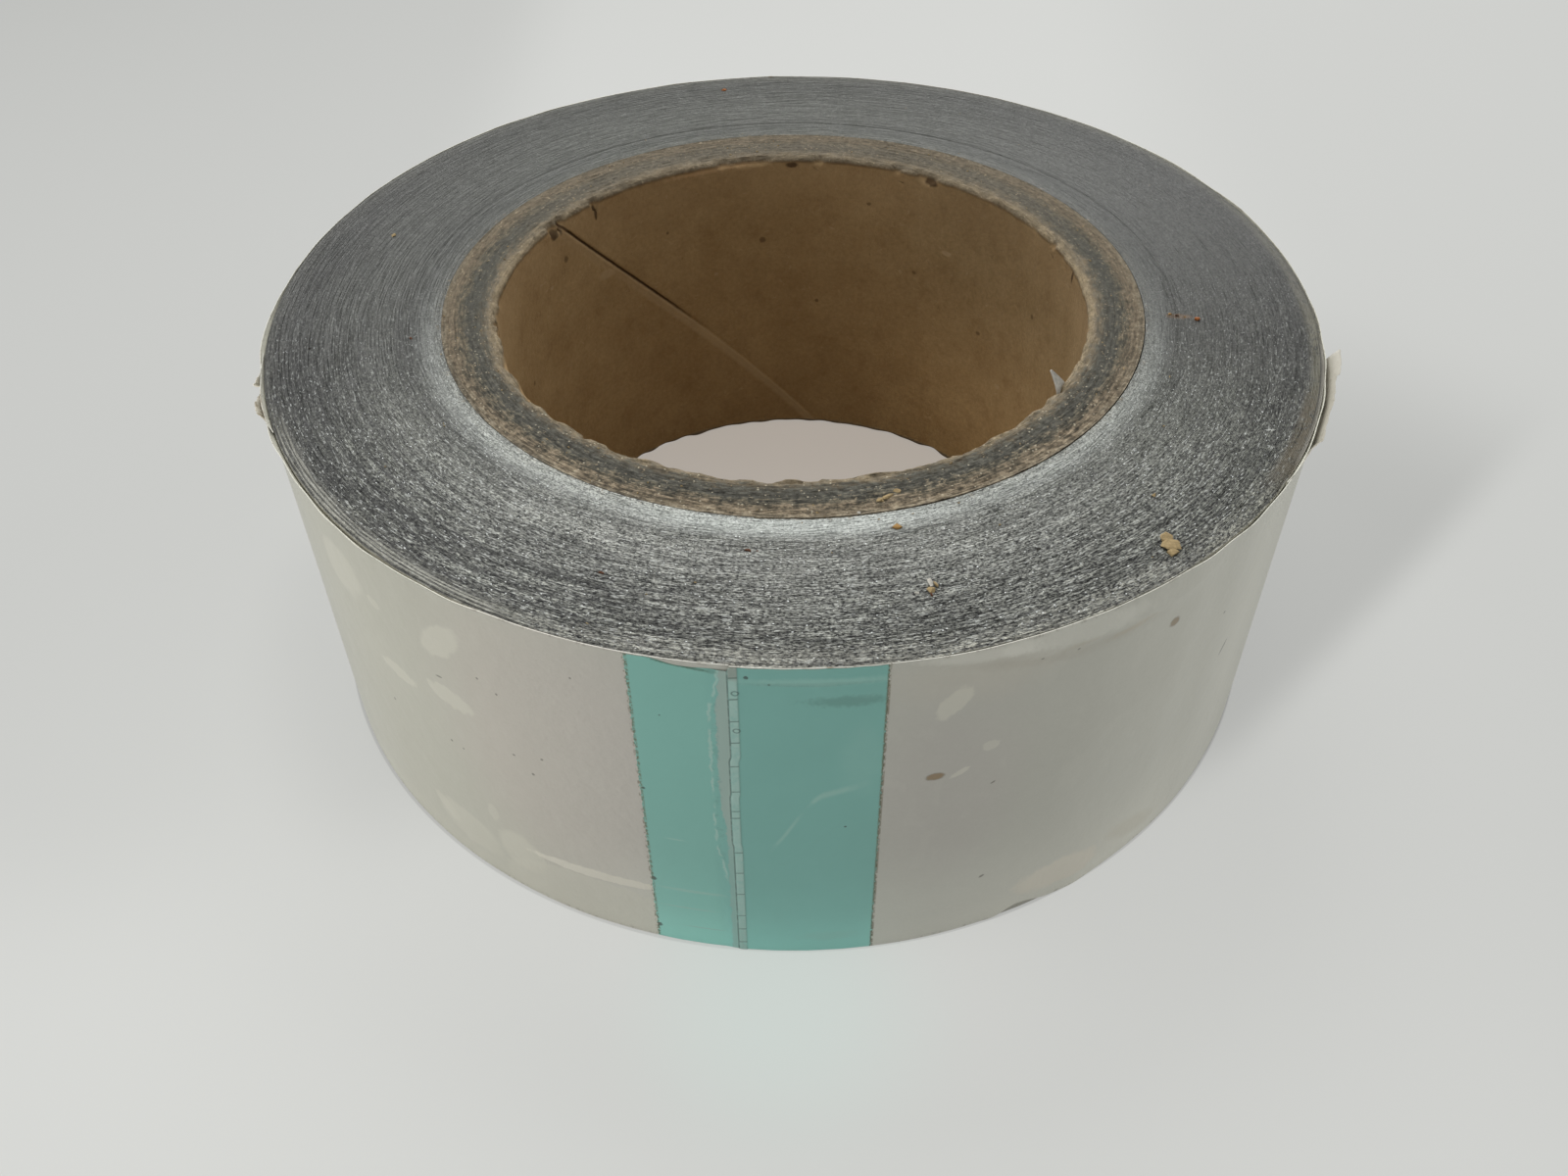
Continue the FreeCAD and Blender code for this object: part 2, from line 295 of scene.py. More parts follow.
    def spot(self, angle, height, wide, tall, ragged, soft=0.25, lean=0, radius=None, flat=False):
        # a mark on a wall, or flat on the end face; wide runs along the turns
        outwards, along, tip = direction(angle), direction(angle + 90), math.radians(lean)
        other = outwards if flat else np.array((0, 0, 1))
        main = along * math.cos(tip) + other * math.sin(tip)
        cross = other * math.cos(tip) - along * math.sin(tip)
        centre = outwards * (radius or roll["linerRadius"]) + (0, 0, height)
        offset = self.vector("SUBTRACT", self.place, centre)
        far, high = [self.measure("DOT_PRODUCT", offset, axis) for axis in (main / wide, cross / tall)]
        size = self.measure("LENGTH", self.join(far, high, 0.0))
        # marks of about the same size share one noise for their edges
        step = round(math.log2(1.1 / min(wide, tall)))
        if step not in self.edges:
            self.edges[step] = self.cloud(2.0 ** step, 3.0) * 2 - 1
        size = self.calc("MULTIPLY_ADD", self.edges[step], ragged, size)
        return self.soft(size, 1.0 + soft, 1.0 - soft)

    def marks(self, groups, radius=None):
        # each group: colour, strength, ragged and soft edge, then its marks:
        # angle, height, half length, half height, and for some the lean and a share of the strength
        for colour, strength, ragged, soft, rows in groups:
            for angle, height, wide, tall, *more in rows:
                lean, share = more + [0, 1][len(more):]
                mark = self.spot(angle, height, wide, tall, ragged, soft, lean, radius)
                self.coat(mark * (strength * share), colour)

    def finish(self, roughness, relief=None, depth=0.1, metallic=0.0, specular=0.5):
        for key, value in (("Base Color", self.tone), ("Roughness", roughness),
                           ("Metallic", metallic), ("Specular IOR Level", specular)):
            self.plug(self.shader.inputs[key], value)
        if relief is not None:
            made = self.node("ShaderNodeBump")
            self.plug(made.inputs["Distance"], depth * mm)
            self.plug(made.inputs["Height"], relief)
            self.plug(self.shader.inputs["Normal"], made.outputs["Normal"])
        return self.material


winding = {
    "columns": 180,         # steps round one turn
    "notch": 0.04,          # depth between two turns
    "uneven": 0.045,        # how much the turns stand in and out
    "grain": 0.016,         # single steps that stand out of their turn
    "deepRing": 49.1,       # a few turns that sit deeper, near the core
    "deepRingDepth": 0.07,
    "freedDrop": 0.2,       # how far the outer turns sink where the paper is off
    "seed": 11,
    # tones from the core out to the rim
    "tones": [
        (0.0, (120, 120, 113)), (0.03, (118, 118, 111)), (0.07, (112, 113, 107)), (0.12, (103, 104, 99)),
        (0.19, (105, 106, 101)), (0.32, (111, 112, 107)), (0.455, (106, 107, 102)),
        (0.59, (100, 101, 96)), (0.73, (93, 94, 89)), (0.84, (85, 86, 81)), (0.91, (94, 94, 88)),
        (0.955, (104, 104, 97)), (1.0, (122, 121, 112))],
    # darker patches: middle, reach and edge in degrees, inner and outer radius
    "dull": [(-168, 30, 16, 58.5, 70), (-132, 30, 16, 53.0, 70), (-146, 26, 14, 45.8, 51.5)],
    # old adhesive over the last turns: middle, reach, inner radius, strength, colour
    "smears": [
        (-12, 12, 64.7, 0.95, (91, 89, 75)), (-28.5, 6.5, 64.3, 0.95, (86, 79, 63)),
        (4, 8, 64.8, 0.9, (74, 72, 62)), (30, 22, 64.9, 0.7, (72, 71, 62))],
}


def makeWinding(material):
    columns = winding["columns"]
    span = roll["foilRadius"] - roll["coreRadius"]
    turns = round(span / roll["tapeThickness"])
    lastRow = 2 * (turns - 1)
    rng = np.random.default_rng(winding["seed"])

    rows = np.arange(lastRow + 3)[:, None]
    column = np.arange(columns)[None, :]
    radius = roll["foilRadius"] - span / turns * (rows / 2 + column / columns)
    angle = roll["tapeEnd"] + 360 * column / columns + 0 * rows

    def endRelief():
        # one number for each step along the whole strip, so a turn runs on into the next
        strip = rng.normal(size=(turns + 2) * columns)
        slow = np.convolve(strip, np.hanning(14), "same")
        quick = np.convolve(strip[::-1], np.hanning(4), "same")
        strip = 0.45 * slow / slow.std() + 0.9 * quick / quick.std()
        place = np.clip(((rows // 2) * columns + column).astype(int), 0, len(strip) - 1)
        # rougher on the side that was handled, smooth at the back
        handled = 0.25 + 0.75 * rise(-radius * np.sin(np.radians(angle)), -25, 40)
        relief = winding["uneven"] * handled * (strip[place] - 2.6) * 0.5
        relief = relief - winding["notch"] * (rows % 2 == 0)
        relief = relief - winding["deepRingDepth"] * bump(radius, winding["deepRing"], 0.45)
        # the outer turns sit lower where the paper has come away
        turned = (angle + 180) % 360 - 180
        freed = 1 - between(turned, -125, -108, -46, -34)
        relief = relief - winding["freedDrop"] * freed * rise(radius, 66.1, 66.6)
        relief = relief + rng.normal(size=relief.shape) * winding["grain"] * handled
        return np.minimum(relief, -0.005)

    top = ringPoints(radius, angle, roll["height"] + endRelief())
    bottom = ringPoints(radius, angle, -endRelief())
    # rows past the last one only exist at the first column, where the strip starts on the core
    used = (lastRow + 1) * columns
    points = np.concatenate([part for grid in (top, bottom)
                             for part in (grid[:lastRow + 1].reshape(-1, 3), grid[lastRow + 1:, 0])])
    below = used + 2

    def at(row, step):
        # one full turn on, the same column belongs to the next turn
        row, step = np.broadcast_arrays(row, step)
        row = np.where(step == columns, row + 2, row)
        step = np.where(step == columns, 0, step)
        return np.where(row <= lastRow, row * columns + step, used + row - lastRow - 1)

    row, step = np.arange(lastRow)[:, None], np.arange(columns)[None, :]
    a, b = at(row, step).ravel(), at(row, step + 1).ravel()
    c, d = at(row + 1, step + 1).ravel(), at(row + 1, step).ravel()
    ring = np.arange(columns)
    outA, outB = at(0, ring), at(0, ring + 1)
    inA, inB = at(lastRow, ring), at(lastRow, ring + 1)
    ends = np.arange(2)
    stepA, stepB = at(ends, 0), at(ends + 1, 0)
    startA, startB = at(lastRow + ends, 0), at(lastRow + ends + 1, 0)
    faces = np.concatenate([
        np.stack([a, b, c, d], 1),
        np.stack([d, c, b, a], 1) + below,
        np.stack([outA + below, outB + below, outB, outA], 1),
        np.stack([inA, inB, inB + below, inA + below], 1),
        np.stack([stepA + below, stepA, stepB, stepB + below], 1),
        np.stack([startA, startA + below, startB + below, startB], 1),
    ])
    return addPiece("foilWinding", points, faces, material, "foil_winding", sharp=None)


def foilEdgeFinish():
    mix = Recipe("slitFoilEdges")
    radius, front = mix.radius, mix.toBack      # front is -1 facing the camera, 1 at the back
    uneven = mix.streaks(9, 0.5, 5.0, 0.7) * 2.0 - 1.0
    share = (radius - 45.0 + uneven) / 22.0
    mix.tone = mix.ramp(share, [(at, paint(colour)) for at, colour in winding["tones"]])
    inFront = mix.soft(front, 0.2, -0.9)
    # the slit edges stand up most at the front, and towards the rim
    crisp = inFront * 1.5 + mix.soft(abs(mix.toRight), 0.8, 1.0, 0.15, 0.42)
    crisp = crisp * mix.soft(radius, 50, 64, 0.82, 1.3)
    grains = mix.streaks(150, 5.6, 3.0, 0.65)
    shreds = mix.streaks(60, 4.2, 3.0, 0.6)
    turns = mix.streaks(12, 3.4, 4.0, 0.66)
    patches = mix.streaks(9, 0.5, 3.0)
    level = mix.soft(grains, 0.3, 0.7, 0.32, 1.74) * mix.soft(shreds, 0.25, 0.75, 0.72, 1.3)
    lines = mix.soft(radius, 48, 62, 0.2, 0.6) * (inFront * 0.9 + 0.06)
    level = level * ((mix.soft(turns, 0.3, 0.7) - 0.5) * lines + 1)
    level = level * (patches * 0.36 + 0.82)
    level = (level - 1.0) * crisp + 1.0
    # groups of turns run on as long lines, most of all at the front left
    strands = mix.soft(mix.streaks(4, 1.8, 2.0, 0.6), 0.36, 0.64) - 0.5
    drawn = mix.arc(-122, 20, 12) * 0.6 + (inFront * 0.2 + mix.soft(front, 0.6, 0.1, 0.0, 0.3))
    drawn = drawn * mix.soft(radius, 52, 60, 0.5, 1.0)
    mix.shade(level * (strands * drawn + 1))
    # painted light and shade round the end face: brightest at the front, darker at the sides, a little
    # lighter at the back, darker at the back right
    paintedSideLight = mix.soft(front, -0.19, -1.04, 0.3, 1.23) + mix.soft(front, 0.3, 0.95, 0.0, 0.16)
    mix.shade(paintedSideLight * (mix.arc(33, 32, 24) * -0.29 + 1))
    mix.coat(mix.soft(front, -1.0, -0.4), mix.vector("MULTIPLY", mix.tone, (0.985, 1.0, 0.945)))
    specks = mix.soft(mix.cloud(1.1, 4.0, 0.7), 0.36, 0.64, 0.84, 1.17)
    mix.coat(mix.soft(front, -0.85, -0.45), mix.vector("SCALE", mix.tone, scale=specks))
    for middle, reach, edge, inside, outside in winding["dull"]:
        ring = mix.band(radius, inside, inside + 3.5, outside - 1.5, outside)
        dull = mix.arc(middle, reach, edge) * ring
        mix.shade(dull * -0.25 + 1)
    # the turns next to the core are rubbed bright, and the ring is painted brighter towards the front as a
    # sheen
    fringe = grains * 1.8 + (uneven * 0.6 + radius)
    nearCore = mix.soft(fringe, 50.3, 47.4) * mix.soft(fringe, 45.6, 46.8, 0.3, 1.0)
    # painted sheen: the rubbed ring is kept mostly to the front
    bright = mix.soft(front, 0.25, -0.95, 0.02, 0.42) + mix.soft(front, -0.9, -1.0, 0.0, 0.5)
    nearCore = nearCore * bright
    patchy = mix.soft(grains, 0.3, 0.7, 0.62, 1.36)
    rubbed = mix.vector("SCALE", paint((190, 194, 189))[:3], scale=patchy)
    mix.coat(nearCore, rubbed)
    # painted glints where burrs of bare foil catch the light, and painted shade in the gaps between turns
    glints = mix.grits(mix.polar(130, 3.2), 1.0, 0.20, 0.14)
    mix.coat(glints * (inFront * 0.9 + 0.08), (246, 250, 248))
    paintedGapShade = mix.soft(mix.streaks(110, 4.8, 2.0, 0.5), 0.37, 0.3)
    mix.coat(paintedGapShade * (inFront * 0.6 + 0.1), (42, 44, 41))
    dashes = mix.streaks(62, 5.6, 2.0, 0.5)
    outwards = mix.soft(radius, 48, 62, 0.2, 0.8)
    mix.coat(mix.soft(dashes, 0.43, 0.35) * (outwards * (inFront * 0.85 + 0.02)), (46, 48, 45))
    mix.coat(mix.soft(dashes, 0.6, 0.67) * (inFront * 0.55 + 0.04), (196, 199, 194))

    # frayed outermost turns: fluffy at the front, standing apart as single lines on the left
    fluff = mix.soft(mix.cloud(2.2, 4.0, 0.7), 0.46, 0.62)
    fluff = fluff * (mix.soft(radius, 64.2, 65.4) * mix.soft(front, -0.6, -0.85))
    mix.coat(fluff * 0.5, (146, 147, 140))
    apart = mix.calc("SINE", radius * (2 * math.pi / 0.42) + turns * 9.0) * 0.5 + 0.5
    where = mix.arc(-134, 20) * mix.soft(radius, 64.6, 65.5)
    mix.coat(where * 0.6, mix.blend(mix.soft(apart, 0.25, 0.8), (62, 62, 56), (160, 159, 148)))
    # painted shadow in the hairline gap between the foil and the paper
    gap = mix.line(radius, 66.45, 0.22, 0.05) * mix.soft(shreds, 0.36, 0.56)
    mix.coat(gap * 0.75, (40, 40, 36))
    patchy = mix.soft(mix.streaks(60, 1.6, 4.0, 0.7), 0.3, 0.54)
    for middle, reach, inside, strength, colour in winding["smears"]:
        smear = mix.arc(middle, reach) * mix.soft(radius, inside, inside + 1) * patchy
        mix.coat(smear * strength, colour)
    # the paper's edge beside the torn flap, and painted shade in the crack beside it
    mix.coat(mix.arc(-21.5, 10.5, 1.5) * mix.soft(radius, 66.25, 66.4) * 0.9, (124, 121, 112))
    # painted shade in the crack
    mix.coat(mix.arc(-18, 8, 2) * mix.line(radius, 66.25, 0.14, 0.04), (62, 60, 52))
    # a scratch across the turns, and a brown stain by the core
    scratch = mix.spot(-28.7, roll["height"], 0.07, 0.65, 0.3, lean=-28.7, radius=62.3, flat=True)
    mix.coat(scratch, (188, 190, 184))
    stain = mix.spot(-7.2, roll["height"], 0.55, 1.6, 0.6, radius=49.4, flat=True)
    mix.coat(stain * 0.6, (96, 74, 48))
    # board dust from the core
    dust = mix.soft(mix.cloud(0.9, 4.0, 0.7), 0.56, 0.7)
    mix.coat(dust * mix.soft(radius, 46.3, 45.1) * 0.6, (140, 126, 102))
    # the turn below is wrapped in paper too, where it shows past the liner
    upright = mix.split(mix.node("ShaderNodeNewGeometry").outputs["True Normal"])[2]
    mix.coat(mix.soft(abs(upright), 0.5, 0.3) * mix.soft(radius, 66.0, 66.4), (186, 184, 172))
    roughness = nearCore * 0.2 + mix.soft(grains, 0.3, 0.7, 0.6, 0.42)
    relief = (glints * 0.5 + (grains + shreds * 0.8)) * (inFront * 0.8 + 0.18)
    return mix.finish(roughness, relief, 0.14, metallic=0.2)


makeWinding(foilEdgeFinish())
print("winding done")


core = {
    "columns": 470,
    "wallRows": 30,
    "plies": 8,
    "plyGap": 0.16,         # depth of the line between two plies
    "fuzz": 0.13,           # roughness of the cut ends
    "fray": 0.34,           # how ragged the inner rim is
    "curl": 0.16,           # how far its lip curls in and out
    "outOfTrue": 0.07,      # slow waves of the bore
    "seamStart": 82.2,      # the inner ply's edge at the foot, and its rise in one turn
    "seamPitch": 262.0,
    "seamWidth": 0.55,
    "seamDepth": 0.3,
    # torn places on the rim: angle, width, depth
    "nicks": [
        (138.4, 0.8, 2.2), (151.6, 1.3, 2.0), (148.9, 0.9, 1.2), (58.5, 2.4, 1.3), (66, 1.2, 1.0),
        (84, 1.6, 0.8), (-146, 4.6, 1.2), (-137, 2.2, 1.0), (-158, 3.0, 0.9), (-170.5, 0.7, 1.6),
        (-34, 1.2, 0.8), (-12, 2.0, 0.7), (20, 1.4, 0.8), (99, 6.0, 0.9), (106, 1.3, 0.7),
        (-122, 1.8, 0.6), (-60, 1.5, 0.6)],
    # places where the lip is worn back towards the outside: angle, width, depth
    "bites": [
        (-128.2, 0.9, 0.75), (-143.4, 1.3, 0.65), (-155.6, 1.5, 0.4), (-179, 2.0, 0.3),
        (-164.5, 2.6, -0.25), (-137.5, 1.5, -0.2), (-149.5, 1.6, -0.12), (-94, 3.0, 0.35),
        (-72, 2.0, 0.3), (148.9, 1.2, 0.5)],
    "seed": 23,
    # dark and pale flecks in the bore, painted shade in torn slits below the rim, and a strip where a ply
    # has peeled
    "marks": [
        ((72, 54, 34), 0.6, 0.4, 0.4, [
            (148.8, 43.3, 0.42, 0.5), (97.0, 36.1, 0.5, 0.45), (60, 33, 0.35, 0.3), (41, 27, 0.4, 0.3),
            (84, 25, 0.3, 0.3), (120, 40, 0.25, 0.25), (24, 36, 0.3, 0.4), (168, 30, 0.3, 0.35),
            (72, 43, 0.35, 0.25)]),
        ((190, 170, 138), 0.28, 0.4, 0.4, [
            (108.5, 31.0, 0.35, 0.3), (137, 37.1, 1.5, 0.7), (154.8, 40.7, 0.4, 0.3), (52, 38, 0.9, 0.4),
            (33, 20, 0.5, 0.4)]),
        # painted shade in torn slits below the rim
        ((54, 36, 20), 0.8, 0.3, 0.3, [
            (138.4, 47.6, 0.28, 1.1), (151.5, 48.0, 0.9, 0.7), (149.4, 48.4, 0.4, 1.0),
            (-170.5, 48.2, 0.3, 1.0), (90, 48.5, 0.9, 0.4), (57.4, 48.6, 1.1, 0.6)]),
        ((190, 158, 118), 0.6, 0.5, 0.3, [(106, 49.0, 8.0, 0.6, -3)]),
    ],
    # tones of the cut end from the bore outwards, sooty in the middle of the wall
    "cutTones": [
        (0.0, (140, 126, 101)), (0.10, (134, 121, 98)), (0.20, (112, 103, 87)), (0.29, (86, 83, 73)),
        (0.40, (78, 77, 70)), (0.53, (78, 77, 70)), (0.63, (90, 86, 74)), (0.73, (108, 99, 83)),
        (0.83, (120, 108, 90)), (0.93, (126, 115, 96)), (1.0, (126, 117, 100))],
}


def makeCore(material):
    inner, outer, height = roll["boreRadius"], roll["coreRadius"], roll["height"]
    # the columns follow the seam's helix and crowd together beside it
    half = math.degrees(core["seamWidth"] / 2 / inner)
    beside = np.array([-3.0, -1.8, -1.0, -0.55, 0.0, 0.55, 1.0, 1.8, 3.0]) * half
    spread = np.linspace(4.0 * half, 360 - 4.0 * half, core["columns"])
    column = np.concatenate([beside, spread])[:, None]

    wall = np.linspace(0.9, height - 0.9, core["wallRows"])
    # the worn corner at the bore: how far out from the bore, how far below the end
    rim = ((0.0, 0.55), (0.12, 0.25), (0.3, 0.08), (0.55, 0.0))
    across = np.arange(inner + 0.85, outer, 0.22)
    profile = [(inner, z) for z in wall] + [(inner + out, height - drop) for out, drop in rim]
    profile += [(r, height) for r in across] + [(outer, height)]
    profile += [(outer, z) for z in np.linspace(height - 6, 6, 5)]
    profile += [(outer, 0.0)] + [(r, 0.0) for r in across[::-1]]
    profile += [(inner + out, drop) for out, drop in rim[::-1]]
    profile = np.array(profile)
    level = profile[:, 1][None, :]
    angle = core["seamStart"] + 360 / core["seamPitch"] * level + column
    turn = np.radians(angle)
    radius, level = profile[:, 0][None, :] + 0 * turn, level + 0 * turn

    def beat(where, wide, deep):
        # depth of a torn place on the bore
        away = (angle - where + 180) % 360 - 180
        return deep * bump(np.radians(away) * inner, 0, wide)

    rng = np.random.default_rng(core["seed"])
    isTop = level > height - 1.5
    isFoot = level < 1.5
    onEnd = (radius > inner + 0.7) & (radius < outer - 0.05) & (isTop | isFoot)
    ply = (radius - inner) / (outer - inner) * core["plies"] + 0.12 * wander(5, turn, 2, 9)
    lines = np.exp(-((ply - np.round(ply)) / 0.16) ** 2)
    low = core["plyGap"] * lines * (0.5 + 0.5 * wander(8, turn, 3, 40, 0.2))
    low = low + core["fuzz"] * rng.random(level.shape) + 0.02
    low = low + 0.12 * (1 + wander(6, turn, 3, 30, 0.3)) * rise(radius, inner + 2.4, inner + 0.6)
    level = np.where(onEnd & isTop, level - np.abs(low), level)
    level = np.where(onEnd & isFoot, level + np.abs(low), level)

    # ragged rim at the bore, with a few nicks
    edge = rise(radius, inner + 1.2, inner + 0.2)
    ragged = 1.1 + wander(31, turn, 6, 60, 0.25) + 0.5 * np.abs(wander(35, turn, 60, 200, 0.0))
    ragged = core["fray"] * ragged * edge
    for nick in core["nicks"]:
        ragged = ragged + beat(*nick) * edge
    level = np.where(isTop & ~onEnd & (radius < inner + 1), level - ragged, level)
    footRagged = core["fray"] * (1.2 + wander(33, turn, 6, 60, 0.25)) * edge
    level = np.where(isFoot & ~onEnd & (radius < inner + 1), level + footRagged, level)

    # the lip curls in and out a little as it tears
    lip = rise(level, height - 2.4, height - 0.4) * rise(radius, inner + 1.4, inner + 0.3)
    curl = core["curl"] * wander(36, turn, 8, 80, 0.2) + 0.10 * wander(38, turn, 60, 200, 0.0)
    curl = np.clip(curl, -0.22, 0.35)
    for bite in core["bites"]:
        curl = curl + beat(*bite)
    radius = radius + lip * curl

    # the bore isn't quite true, and the inner ply's two edges leave a gap
    onBore = (profile[:, 0][None, :] < inner + 0.05) & (level > -1)
    off = np.radians((column + 180) % 360 - 180) * inner
    gap = core["seamDepth"] * bump(off, 0, core["seamWidth"] * 0.8) * (0.15 + 0.85 * rise(level, 16, 30))
    lap = -0.07 * bump(off, core["seamWidth"] * 1.4, core["seamWidth"] * 1.3)
    waves = core["outOfTrue"] * wander(41, turn, 2, 12) + 0.03 * np.sin(level / 5 + 3 * turn)
    radius = radius + np.where(onBore, gap + lap + 0.05 + waves * 0.6, 0)

    points = np.stack([radius * np.cos(turn), radius * np.sin(turn), level], -1).reshape(-1, 3)
    index = np.arange(angle.size).reshape(angle.shape)
    nextColumn, nextRow = np.roll(index, -1, 0), np.roll(index, -1, 1)
    corner = np.roll(nextColumn, -1, 1)
    faces = np.stack([index.ravel(), nextRow.ravel(), corner.ravel(), nextColumn.ravel()], 1)
    return addPiece("coreTube", points, faces, material, "core_tube", sharp=50)


def coreFinish():
    mix = Recipe("kraftBoard")
    bore, front = roll["boreRadius"], mix.toBack        # front is -1 facing the camera, 1 at the back
    fibre = mix.cloud(1.6, 6.0, 0.7)
    mottle = mix.cloud(0.14, 4.0, 0.6)
    mix.tone = mix.blend(mix.soft(mottle, 0.2, 0.8), (145, 120, 83), (159, 135, 97))
    mix.shade(mix.soft(fibre, 0.25, 0.75, 0.86, 1.12))
    mix.coat(mix.soft(mix.cloud(0.8, 3.0, 0.6, 1.5), 0.62, 0.74) * 0.3, (186, 164, 130))
    mix.coat(mix.soft(mix.cloud(1.1, 3.0, 0.6), 0.34, 0.24) * 0.3, (92, 72, 48))
    mix.coat(mix.soft(mix.cloud(0.3, 4.0, 0.65), 0.5, 0.7) * 0.3, (120, 94, 62))
    mix.coat(mix.soft(mix.z, 38.0, 50.0) * 0.2, (158, 132, 100))
    # on the right the bore is lit from below, by the floor
    onRight = mix.soft(mix.toRight, 0.1, 0.8)
    mix.shade((mix.soft(mix.z, 6.0, 42.0, 1.4, 0.74) - 1.06) * onRight + 1.06)
    mix.marks(core["marks"], bore)
    # glue line of the inner ply, dark near the top, with a paler lap beside it
    twist = mix.calc("RADIANS", mix.z * (360 / core["seamPitch"]) + core["seamStart"])
    heading = mix.join(mix.calc("COSINE", twist), mix.calc("SINE", twist), 0.0)
    across = mix.split(mix.vector("CROSS_PRODUCT", heading, mix.heading))[2] * bore
    facing = mix.soft(mix.measure("DOT_PRODUCT", heading, mix.heading), 0.5, 0.8)
    ragged = mix.cloud(0.9, 3.0, 0.6) * 0.8 - 0.4
    gap = mix.soft(abs(across + ragged * 0.3), 0.42, 0.12)
    mix.coat(gap * facing * mix.soft(mix.z, 21.0, 30.0, 0.0, 0.9), (66, 46, 28))
    lap = mix.soft(across + ragged, 2.6, 1.5) * mix.soft(across, 0.1, 0.5)
    mix.coat(lap * facing * mix.soft(mix.z, 42.0, 20.0, 0.2, 0.55), (180, 158, 124))
    brown = mix.tone

    # cut ends
    onEnd = mix.soft(abs(mix.z - roll["height"] / 2), 23.7, 24.3)
    crisp = mix.soft(front, 0.1, -0.8, 0.6, 1.45)
    grain = mix.cloud(1.3, 4.0, 0.7)
    streaks = mix.streaks(26, 3.6, 4.0, 0.68)
    clumps = mix.streaks(20, 1.1, 3.0, 0.6)
    rough = streaks * 0.44 - 0.22 + (grain * 0.32 - 0.16)
    share = (mix.radius - 38.0) / 7.2 + (clumps * 0.44 - 0.22)
    share = rough * crisp + share
    mix.tone = mix.ramp(share, [(at, paint(colour)) for at, colour in core["cutTones"]])
    mix.coat(mix.soft(front, 0.1, 0.9) * 0.5, (110, 101, 86))
    outer = mix.soft(share, 0.5, 0.85) * mix.soft(front, -1.0, -0.45)
    mix.shade(outer * -0.2 + 1)
    depth = mix.soft(grain, 0.28, 0.72, 0.66, 1.36) * mix.soft(streaks, 0.3, 0.7, 0.64, 1.36)
    mix.shade((depth - 1.0) * crisp + 1)
    scores = mix.soft(mix.streaks(30, 5.0, 2.0, 0.5), 0.42, 0.34)
    mix.coat(scores * (crisp * 0.34), (56, 53, 46))
    # long dark lines where two plies part
    parted = mix.soft(mix.streaks(5, 2.0, 2.0, 0.6), 0.47, 0.34)
    mix.coat(parted * (crisp * 0.38), (54, 51, 44))
    flecks = mix.grits(mix.place, 2.4, 0.16, 0.17)
    mix.coat(flecks * mix.soft(front, 0.2, -0.8, 0.15, 0.75), (188, 180, 158))
    lint = mix.soft(mix.streaks(70, 2.6, 3.0, 0.6), 0.62, 0.7)
    mix.coat(lint * 0.5, (178, 162, 134))
    mix.tone = mix.blend(onEnd, brown, mix.tone)
    return mix.finish(0.9, fibre * 0.6 + (grain + streaks) * onEnd, 0.22, specular=0.2)


makeCore(coreFinish())
print("core done")


